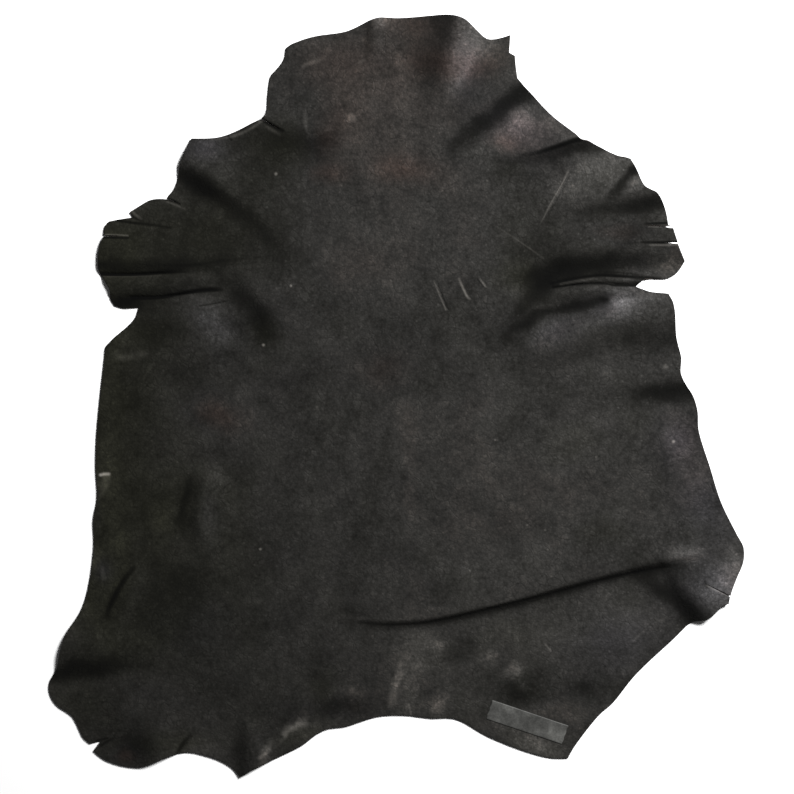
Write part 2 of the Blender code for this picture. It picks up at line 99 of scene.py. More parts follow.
# The folds of the lying skin. Each stands up along its crest and runs out to the flat sheet on both sides.
# Columns: name, reach in mm to the left and right of the crest's run, crest points (x mm, y mm, height mm,
# share of the reach used there), how the skin falls away on each side where that isn't round.
FOLDS = [Fold(*row) for row in (
    ("flank fold", 75, 11, (
        (-80, -266, 0, 1), (-41, -267, 2, 1), (4, -268, 3.5, 1), (52, -263, 5, 1), (100, -252, 6, 1),
        (148, -241, 6, 1), (196, -227, 6.5, 1), (244, -214, 7, 1), (292, -202, 6.5, 1), (340, -193, 4, 1),
        (379, -187, 1, 1)), ROUND, SHARP),
    ("right hind foot ridge", 50, 26, (
        (314, -177, 0, 0.6), (331, -201, 5, 0.8), (350, -230, 8, 1), (364, -251, 9, 1), (381, -273, 9, 1))),
    ("neck ridge", 38, 62, ((70, 464, 8, 1), (65, 428, 7.5, 1), (57, 389, 5.5, 0.8), (47, 346, 0, 0.5))),
    ("upper neck fold", 26, 44, (
        (153, 404, 10, 1), (134, 382, 10, 1), (112, 361, 8, 1), (88, 344, 5, 0.9), (59, 322, 0, 0.7))),
    ("lower neck fold", 16, 56, (
        (247, 320, 11, 1), (230, 311, 11, 1), (213, 307, 10, 1), (191, 301, 8.5, 1), (167, 293, 6, 0.9),
        (139, 287, 3, 0.8), (105, 284, 0, 0.7)), SHARP, ROUND),
    ("right shoulder swell", 26, 46, (
        (331, 253, 10, 1), (292, 247, 9, 1), (250, 239, 6.5, 0.9), (208, 230, 3.5, 0.8), (172, 221, 0, 0.6))),
    ("right foreleg ridge", 30, 40, (
        (357, 178, 9, 1), (304, 179, 10, 1), (244, 181, 11, 1), (202, 176, 9, 0.9), (166, 166, 4, 0.8),
        (136, 152, 0, 0.6))),
    ("upper armpit pleat", 4, 4, (
        (177, 130, 0, 1), (199, 134, 1.6, 1), (226, 139, 2.6, 1), (249, 140, 2.6, 1), (271, 139, 2.4, 1),
        (304, 140, 2, 1))),
    ("lower armpit pleat", 10, 18, (
        (148, 101, 0, 0.8), (176, 116, 3, 1), (202, 124, 5, 1), (230, 128, 5.5, 1), (251, 128, 5, 0.8))),
    ("right elbow swell", 40, 26, (
        (345, 94, 8, 1), (292, 94, 9, 1), (259, 92, 10, 1), (223, 79, 9, 1), (184, 58, 6, 0.9),
        (142, 32, 0, 0.8))),
    ("right edge pleat", 24, 26, (
        (359, 29, 6, 1), (326, 25, 5.5, 1), (295, 17, 3.5, 0.9), (261, 8, 0, 0.7))),
    ("right flank swell", 56, 22, (
        (321, -2, 0, 0.8), (322, -34, 1.5, 1), (323, -70, 2.4, 1), (328, -106, 2, 1), (333, -148, 0, 1))),
    ("neck nip", 16, 12, ((-27, 461, 3, 1), (-28, 430, 2.5, 1), (-32, 399, 0, 0.7))),
    ("left neck cut fold", 14, 36, (
        (-171, 338, 4.5, 1), (-137, 329, 4.5, 1), (-101, 321, 3, 1), (-65, 305, 0, 0.8))),
    ("left shoulder ridge", 44, 24, (
        (-269, 286, 2, 1), (-239, 274, 6.5, 1), (-206, 250, 5, 1), (-177, 229, 3, 0.85),
        (-149, 203, 1.2, 0.7), (-128, 181, 0, 0.5))),
    ("left foreleg ridge", 34, 24, (
        (-365, 171, 1.5, 1), (-341, 171, 4.5, 1), (-302, 171, 5.5, 1), (-260, 170, 3.5, 0.9),
        (-218, 169, 1.5, 0.7), (-182, 173, 0, 0.5)), ROUND, ROLLED),
    ("left foreleg under-ridge", 8, 17, (
        (-358, 137, 1.5, 1), (-338, 137, 3.5, 1), (-296, 137, 4.5, 1), (-248, 140, 3.2, 1),
        (-207, 140, 0, 0.8)), ROUND, ROLLED),
    ("left elbow ridge", 48, 32, (
        (-197, 157, 0, 0.7), (-178, 142, 3, 0.9), (-157, 123, 4.5, 1), (-141, 97, 4, 1), (-136, 61, 0, 0.9))),
    ("left elbow swell", 46, 48, (
        (-248, 116, 2, 0.8), (-241, 82, 6, 1), (-238, 53, 5, 1), (-248, 8, 0, 0.9))),
    ("left flank ridge", 40, 24, (
        (-217, -79, 0, 0.7), (-225, -100, 3, 1), (-230, -127, 4.5, 1), (-232, -151, 4, 1),
        (-229, -175, 2.5, 1), (-221, -199, 0, 0.8))),
    ("left stifle crease", 30, 13, (
        (-308, -191, 0, 0.6), (-317, -211, 2.5, 1), (-329, -232, 3, 1), (-338, -249, 2, 1),
        (-345, -273, 0, 0.8))),
    ("left hind ridge", 44, 34, (
        (-423, -309, 2, 1), (-401, -308, 4.5, 1), (-374, -307, 6, 1), (-334, -305, 3.5, 1),
        (-296, -307, 1.2, 0.9), (-250, -307, 0, 0.7))),
    ("left hind toe ridge", 20, 30, ((-175, -472, 3, 1), (-175, -427, 3.5, 1), (-178, -374, 0, 0.8))),
    ("left hind toe swell", 34, 28, ((-284, -458, 4.5, 1), (-287, -415, 4, 1), (-296, -379, 0, 0.8))),
)]

# Creases, cuts, scratches, and painted light and shade. Creases and cuts are real grooves. The dark tones of
# creases, cuts, nicks, notches and dimples are painted shade in their grooves. The marks named shade, core,
# trough, hollow, valley or pit are painted shade in hollows and beside folds and scratches. The light tones of
# the lips, the turned flap and the marks named light are painted light where the surface faces the window,
# some with bared fibre. The pale scratches, smudges, smears, scars and spots are wear. Columns: name, reach in
# mm to the left and right of the run, depth of the groove in mm (below nought stands proud), tone in stops
# (below nought is darker), share of bared pale fibre, run of points (x mm, y mm, strength).
MARKS = [Mark(*row) for row in (
    ("neck cut", 4.1, 3.8, 1.7, -4, 0, ((-165, 333, 1), (-152, 326, 1), (-137, 318, 0.5))),
    ("neck cut lip", 2.2, 2.2, 0, 0.35, 0.03, (
        (-156.6, 322.8, 0.6), (-148.2, 318.6, 1), (-139.8, 313.8, 0.5))),
    ("shoulder nick", 2.2, 2.2, 0.5, -2.8, 0, ((-204.6, 315, 1), (-198, 307.8, 0.6))),
    ("neck edge fibre", 3.1, 3.1, 0, 1.3, 0.03, (
        (-221, 309, 0.5), (-197, 312, 1), (-179, 319, 1), (-161, 330, 0.8))),
    ("foreleg top cut", 2.6, 2.4, 0.8, -3.4, 0, ((-278, 237, 1), (-269, 235, 1), (-261, 231, 0.6))),
    ("foreleg top cut lip", 1.6, 1.6, 0, 0.5, 0.04, (
        (-275.4, 233.4, 0.8), (-267, 230.4, 1), (-258.6, 226.8, 0.8), (-252.6, 223.8, 0.3))),
    ("turned flap", 2.4, 2.4, -0.3, 0.5, 0.06, (
        (-318.6, 223.2, 1), (-313.8, 218.4, 1), (-306.6, 213, 0.5))),
    ("turned flap shade", 2, 2, 0.5, -1.9, 0, ((-319.2, 217.8, 1), (-312.6, 213.6, 1), (-304.2, 210, 0.4))),
    ("dewclaw crease", 2.9, 2.4, 0.6, -2.4, 0, (
        (-335, 211, 1), (-315, 208, 1), (-296, 206, 0.7), (-271, 202, 0.4))),
    ("dewclaw crease lip", 1.6, 1.6, 0, 0.36, 0, (
        (-310.2, 204.2, 0.4), (-295.8, 202.2, 1), (-285, 199.8, 0.5))),
    ("left foreleg cut lip", 1.6, 1.6, 0, 1.1, 0.1, ((-348.6, 193.8, 1), (-321.6, 192.6, 0.9))),
    ("left foreleg cut", 1.9, 1.9, 0.3, -3.4, 0, ((-351, 190.4, 1), (-322.2, 189.5, 0.9))),
    ("left foreleg crease", 4.1, 3.6, 1.4, -5, 0, (
        (-355, 147, 1), (-332, 146, 1), (-302, 147, 0.9), (-279, 149, 0.4), (-257, 151, 0))),
    ("left foreleg crease lip", 1.8, 1.8, 0, 0.3, 0.02, (
        (-351, 143.4, 1), (-319.8, 143.4, 1), (-281.4, 145.1, 0.4))),
    ("left foreleg shade", 14.4, 8.4, 0, -1.5, 0, (
        (-355, 154, 1), (-302, 155, 1), (-248, 157, 0.7), (-197, 163, 0.2))),
    ("left foreleg streak", 3, 3, 0.3, -0.6, 0, (
        (-284, 157, 0.5), (-245, 157, 1), (-206, 163, 0.8), (-154, 167, 0.4))),
    ("left armpit crease", 4.3, 3.8, 1.5, -5, 0, (
        (-316, 118, 1), (-284, 119, 1), (-260, 123, 1), (-236, 127, 1), (-219, 128, 0.8), (-207, 128, 0))),
    ("left armpit shade", 10.8, 6, 0, -0.7, 0, (
        (-310, 124, 0.8), (-272, 127, 1), (-236, 131, 0.8), (-209, 135, 0.3))),
    ("elbow crease", 1.8, 1.8, 0.3, -1.4, 0, (
        (-235.8, 108.2, 0.7), (-223.8, 110.3, 1), (-214.2, 112.2, 0.9), (-199.8, 115.2, 0.5))),
    ("elbow crease upper lip", 1.8, 1.8, 0, 0.3, 0, (
        (-240.6, 114.6, 0.5), (-219, 117, 1), (-207, 119.4, 0.5))),
    ("elbow crease lower lip", 1.7, 1.7, 0, 0.3, 0, ((-228.6, 106, 0.6), (-209.4, 109.3, 1))),
    ("left shoulder trough", 15.6, 18, 0, -2, 0, (
        (-274, 272, 0.5), (-248, 263, 1), (-229, 251, 1), (-213, 239, 0.75), (-184, 218, 0.5),
        (-157, 194, 0.35), (-139, 176, 0.1))),
    ("left elbow trough", 20.4, 21.6, 0, -1.7, 0, (
        (-202, 136, 0.3), (-188, 124, 0.8), (-173, 109, 1), (-164, 92, 1), (-160, 75, 0.6), (-161, 56, 0))),
    ("neck side stroke", 4.1, 4.1, 0, 0.5, 0.02, ((-109, 339, 0.5), (-109, 325, 1), (-104, 313, 0.5))),
    ("flank smudge", 6, 6, 0, 1.2, 0.03, ((-333, 50, 1), (-320, 49, 0.7), (-302, 49, 0.5))),
    ("flank short stroke", 2.2, 2.2, 0, 0.5, 0, ((-292.2, 39, 1), (-299.4, 29.4, 1), (-303, 21, 0.6))),
    ("edge scar", 3.1, 3.1, 0.3, 1, 0.5, ((-355, -94, 1), (-350, -93, 1), (-345, -93, 0.8))),
    ("edge scar tail", 6.6, 6.6, 0, 1.4, 0.04, ((-349, -98, 0.8), (-351, -107, 1), (-353, -116, 0.4))),
    ("left flank shade", 9.6, 9.6, 0, -1.6, 0, (
        (-242, -93, 0.2), (-249, -110, 0.8), (-254, -127, 1), (-256, -146, 0.8), (-257, -163, 0.2))),
    ("left flank light", 20.4, 18, 0, 0.85, 0, (
        (-221, -88, 0.5), (-226, -124, 1), (-230, -151, 1), (-226, -178, 0.3))),
    ("left flank faint shade", 5.4, 5.4, 0, -0.4, 0, (
        (-304, -130, 0.7), (-299, -160, 1), (-303, -187, 0.5))),
    ("left flank low shade", 7.2, 7.2, 0, -0.5, 0, ((-236, -194, 0.6), (-214, -185, 1), (-185, -170, 0.4))),
    ("stifle crease", 4.9, 4.9, 0.2, -2.4, 0, (
        (-315, -206, 0.5), (-326, -220, 1), (-335, -235, 1), (-343, -251, 0.8), (-347, -263, 0.2))),
    ("stifle light", 10.8, 10.8, 0, 0.5, 0, ((-309, -223, 0.8), (-320, -244, 1), (-328, -266, 0.6))),
    ("stifle pale spot", 4.8, 4.8, 0, 0.8, 0.02, ((-353, -207, 0.8), (-351, -218, 1))),
    ("left hind hollow", 20.4, 16.8, 0, -2.2, 0, (
        (-416, -332, 0.9), (-385, -329, 1), (-358, -326, 0.7), (-322, -319, 0.35), (-278, -315, 0.05))),
    ("toe notch upper lip", 1.8, 1.8, 0, -2, 0, ((-359.4, -412.8, 1), (-346.2, -409.6, 0.9))),
    ("toe notch lower lip", 2.6, 2.6, 0, -1.7, 0, ((-355, -419, 0.7), (-349, -415, 1), (-340, -410, 0.5))),
    ("toe dimple", 4.8, 4.8, 0.5, -1.8, 0, ((-263, -427, 0.8), (-256, -417, 1), (-248, -407, 0.6))),
    ("inner toe shade", 18, 18, 0, -0.9, 0, ((-183, -451, 0.6), (-183, -422, 1), (-185, -398, 0.5))),
    ("inner toe light", 9.6, 9.6, 0, 1, 0.02, ((-161, -443, 0.5), (-157, -427, 1), (-149, -415, 0.5))),
    ("toe smear one", 4.3, 3.6, 0, 1.3, 0.06, ((-164, -433, 0.8), (-158, -429, 1), (-152, -422, 0.6))),
    ("toe smear two", 7.2, 6, 0, 2, 0.12, ((-133, -403, 0.7), (-124, -397, 1), (-113, -392, 0.8))),
    ("toe smear three", 3.6, 3.6, 0, 0.8, 0.03, ((-146, -421, 0.3), (-139, -415, 0.5), (-134, -409, 0.8))),
    ("neck shade", 21.6, 31.2, 0, -1.5, 0, ((63, 459, 1), (55, 428, 1), (46, 389, 0.8), (41, 358, 0.1))),
    ("neck light", 28.8, 26.4, 0, 0.8, 0.01, (
        (103, 440, 0.8), (91, 413, 1), (80, 382, 0.8), (75, 358, 0.1))),
    ("neck smear", 5.4, 5.4, 0, 1, 0.06, ((-56, 335, 1), (-51, 334, 1))),
    ("neck spot", 3.4, 3.4, 0, 0.54, 0.03, ((-44, 401, 1), (-39, 403, 0.8))),
    ("neck streak", 4.3, 4.3, 0, 0.8, 0.03, ((-112, 396, 0.8), (-103, 400, 1), (-92, 404, 0.7))),
    ("neck middle streak", 6, 6, 0, 0.8, 0, ((3, 409, 0.8), (5, 397, 1), (4, 382, 0.4))),
    ("upper neck trough", 21.6, 16.8, 0, -2.8, 0, (
        (163, 371, 1), (143, 359, 1), (119, 341, 0.9), (94, 322, 0.8), (69, 302, 0.25))),
    ("lower neck crease", 3.8, 3.4, 0.9, -4, 0, (
        (224, 309, 1), (211, 306, 1), (199, 302, 1), (184, 297, 0.8), (170, 293, 0.4), (148, 289, 0.15))),
    ("lower neck crease lip", 1.9, 1.9, 0, 0.2, 0, (
        (216.6, 311.4, 0.8), (196.2, 306.6, 1), (178.2, 299.4, 0.7))),
    ("lower neck shade", 10.8, 14.4, 0, -1.2, 0, (
        (247, 298, 0.7), (223, 297, 1), (199, 292, 0.9), (172, 286, 0.5), (124, 279, 0.1))),
    ("shoulder tip crease", 9.6, 8.4, 0.5, -2.8, 0, (
        (292, 274, 1), (281, 268, 1), (272, 260, 0.9), (265, 248, 0.6), (253, 237, 0.2))),
    ("shoulder shade", 15.6, 14.4, 0, -1.5, 0, (
        (321, 237, 0.8), (304, 230, 1), (280, 226, 0.9), (256, 223, 0.5), (220, 215, 0.1))),
    ("foreleg upper cut shade", 2.2, 2.2, 0.3, -3.4, 0, (
        (298.2, 206.3, 0.4), (311.4, 207, 1), (328.2, 207.7, 1))),
    ("foreleg upper cut lip", 1.6, 1.6, 0, 0.8, 0.08, (
        (301.8, 202.9, 0.5), (316.2, 203.2, 1), (329.4, 203.9, 1))),
    ("foreleg lower cut shade", 2.2, 2.2, 0.3, -3.4, 0, (
        (292.2, 184.2, 0.4), (309, 183.7, 1), (336.6, 184.4, 1))),
    ("foreleg lower cut lip", 1.6, 1.6, 0, 0.6, 0.07, (
        (301.8, 180.6, 0.6), (318.6, 180.6, 1), (336.6, 181.3, 1))),
    ("foreleg fine streak", 1.9, 1.9, 0.2, -0.5, 0, (
        (270.6, 181.8, 0.5), (285, 183, 1), (299.4, 183.6, 0.8))),
    ("armpit hollow", 19.2, 24, 0, -3, 0, (
        (148, 139, 0.2), (172, 145, 1), (196, 151, 1), (220, 154, 1), (247, 158, 0.8), (287, 160, 0.25),
        (326, 157, 0.05))),
    ("armpit deep shade", 16.8, 16.8, 0, -2, 0, (
        (153, 109, 0.5), (170, 123, 1), (183, 134, 1), (200, 142, 0.4))),
    ("armpit upper crease", 3.4, 3.4, 1, -4, 0, (
        (185, 135, 0.8), (203, 139, 1), (220, 142, 1), (244, 145, 1), (268, 144, 1), (292, 142, 0.9),
        (316, 141, 0.4))),
    ("armpit lower crease", 3.2, 3.2, 1, -4, 0, (
        (188, 131, 0.9), (214, 134, 1), (244, 135, 1), (268, 134, 1), (287, 134, 1), (296, 138, 0.6))),
    ("armpit pale line", 1.3, 1.3, 0, 0.6, 0.03, (
        (196.2, 134.3, 0.8), (220.2, 138.6, 1), (235.8, 140.5, 0.5))),
    ("armpit pale line two", 1.3, 1.3, 0, 0.5, 0.03, (
        (241.8, 139.1, 0.6), (251.4, 137.4, 1), (261, 135, 0.6))),
    ("armpit fine crease", 1.4, 1.4, 0.2, -1, 0, (
        (241.8, 149.4, 0.5), (270.6, 148.2, 1), (304.2, 143.4, 0.7))),
    ("armpit pit", 6.6, 6.6, 0, -1.7, 0, ((237, 119, 0.5), (244, 118, 1), (247, 118, 1))),
    ("elbow trough", 10.8, 9.6, 0.3, -2, 0, (
        (249, 113, 0.6), (220, 111, 1), (196, 107, 1), (178, 101, 1), (158, 91, 0.9), (136, 76, 0.5),
        (118, 58, 0.1))),
    ("elbow streak", 2, 2, 0, -0.7, 0, ((253.8, 114.6, 0.7), (273, 119.4, 1), (293.4, 127.8, 0.8))),
    ("edge valley", 21.6, 16.8, 0, -2.3, 0, (
        (355, 11, 1), (333, 8, 1), (313, 5, 0.9), (289, 1, 0.4), (251, -4, 0.1))),
    ("right flank stripe", 7.2, 7.2, 0, -0.5, 0, (
        (319, -40, 0.3), (322, -62, 0.9), (325, -93, 0.8), (327, -115, 0.1))),
    ("right edge nick", 1.8, 1.8, 0.3, -1.5, 0, ((377.4, -105, 1), (381, -114.6, 0.9))),
    ("long scratch", 1.4, 1.4, 0.1, 0.7, 0.08, (
        (205.8, 269.4, 0.8), (197.4, 252.6, 1), (187.8, 235.8, 1), (179.4, 220.2, 0.8), (173.4, 208.2, 0.2))),
    ("long scratch shade", 1.3, 1.3, 0.1, -0.9, 0, (
        (208.2, 264.6, 0.5), (199.8, 249, 1), (190.2, 232.2, 1), (181.8, 217.8, 0.4))),
    ("thin scratch", 1.3, 1.3, 0.1, 0.4, 0.04, (
        (117, 205.8, 0.3), (138.6, 192, 0.8), (157.8, 178.8, 1), (175.8, 165.6, 0.7))),
    ("hair scratch", 1.3, 1.3, 0.1, -0.6, 0, ((43.8, 195, 0.6), (42.6, 178.2, 1), (43.8, 159, 0.6))),
    ("claw one", 1.4, 1.4, 0.1, 0.7, 0.12, ((45, 138.6, 0.5), (52.2, 120.6, 0.8), (59.4, 103.8, 1))),
    ("claw one shade", 1.3, 1.3, 0.2, -1.3, 0, ((48.6, 138.6, 0.6), (55.8, 119.4, 1), (63, 103.8, 0.8))),
    ("claw two", 2.4, 2.4, 0.2, 0.9, 0.16, (
        (75, 141, 0.4), (79.8, 130.2, 1), (84.6, 120.6, 1), (88.2, 116.4, 0.3))),
    ("claw three", 1.8, 1.8, 0.2, 0.8, 0.12, ((100.2, 141, 0.6), (103.8, 136.2, 1), (107.4, 131.4, 0.8))),
    ("claw three shade", 1.6, 1.6, 0.1, -1.1, 0, ((97.3, 141, 0.8), (104.4, 131.4, 1))),
    ("flank fold shade", 4.8, 14.4, 0, -1.5, 0, (
        (-62, -268, 0.2), (-29, -271, 0.5), (4, -272, 0.8), (28, -271, 0.9), (52, -267, 0.9),
        (100, -257, 1), (148, -245, 1), (196, -232, 1), (244, -219, 1), (274, -212, 1), (298, -207, 1),
        (322, -203, 0.7), (364, -199, 0.2))),
    ("flank fold core", 2.6, 3.1, 0.3, -1.6, 0, (
        (-44, -270, 0.3), (-14, -273, 0.9), (28, -271, 1), (52, -267, 1), (100, -256, 1), (148, -244, 1),
        (196, -232, 1), (244, -219, 1), (280, -211, 1), (307, -206, 0.8), (335, -201, 0.2))),
    ("flank fold end shade", 14.4, 12, 0, -0.6, 0, ((-89, -257, 0.3), (-56, -257, 1), (-17, -259, 0.5))),
    ("hind foot hollow", 24, 20.4, 0, -2.1, 0, (
        (292, -214, 0.5), (314, -230, 1), (338, -247, 1), (359, -265, 1))),
    ("hind foot cut lip", 1.6, 1.6, 0, 0.8, 0.08, (
        (370.2, -226.2, 1), (383.4, -232.8, 1), (399, -239.4, 0.8))),
    ("hind foot cut end", 2, 2, 0.2, -1.4, 0, ((368.5, -221.4, 0.8), (371.4, -228.6, 1))),
    ("rump streak", 8.4, 7.2, 0, 1.2, 0.04, (
        (9, -314, 0.3), (3, -335, 0.9), (-3, -357, 1), (-7, -371, 0.6))),
    ("rump fine streak", 1.9, 1.9, 0, 0.6, 0.04, ((15, -369, 1), (17.4, -381, 1))),
    ("rump low stroke", 3.6, 3.6, 0, 0.3, 0, ((-67, -361, 0.6), (-58, -355, 1), (-47, -350, 0.6))),
    ("rump dash", 1.7, 1.7, 0.1, 0.8, 0.06, ((178.2, -296.5, 1), (185.4, -304.9, 0.8))),
    ("rump diagonal", 2.4, 2.4, 0, 0.48, 0.03, (
        (283.8, -293.4, 0.6), (291, -286.2, 1), (299.4, -279, 0.5))),
    ("spine", 16.8, 16.8, 0, 0.08, 0, ((19, 128, 0.4), (16, 44, 1), (14, -76, 1), (11, -220, 0.6))),
)]

# Small pale scars and flecks. Columns: name, centre x and y and radius in mm, tone in stops, share of bared
# fibre.
SPOTS = [Spot(*row) for row in (
    ("shoulder speck", -144.6, 267, 2.9, 1.32, 0.21),
    ("chest speck", -126.6, 132.6, 2.3, 1.32, 0.21),
    ("elbow speck", -159.6, 61.8, 2.6, 1.38, 0.24),
    ("flank speck", -163.2, -183, 2.4, 1.26, 0.21),
    ("loin speck", 156.6, -154.2, 1.7, 0.84, 0.12),
    ("loin speck two", 178.2, -160.2, 1.7, 0.84, 0.12),
    ("back speck", 118.2, -52.2, 1.7, 0.96, 0.15),
    ("edge speck", 331.8, -54, 2.9, 1.5, 0.27),
    ("neck base speck", 108.6, 258.6, 1.9, 0.72, 0.09),
    ("loin side speck", 239.4, -72.6, 1.9, 0.66, 0.09),
    ("edge pleat spot", 322.2, 35.4, 5, 0.6, 0.06),
    ("edge pleat spot two", 305.4, 31.8, 4.6, 0.3, 0),
    ("belly speck", -95.4, -12.6, 2.2, 0.6, 0.06),
    ("thigh spot", 318.6, -268.2, 4.8, 0.42, 0.03),
    ("thigh spot two", 331.8, -280.2, 3.6, 0.3, 0),
)]
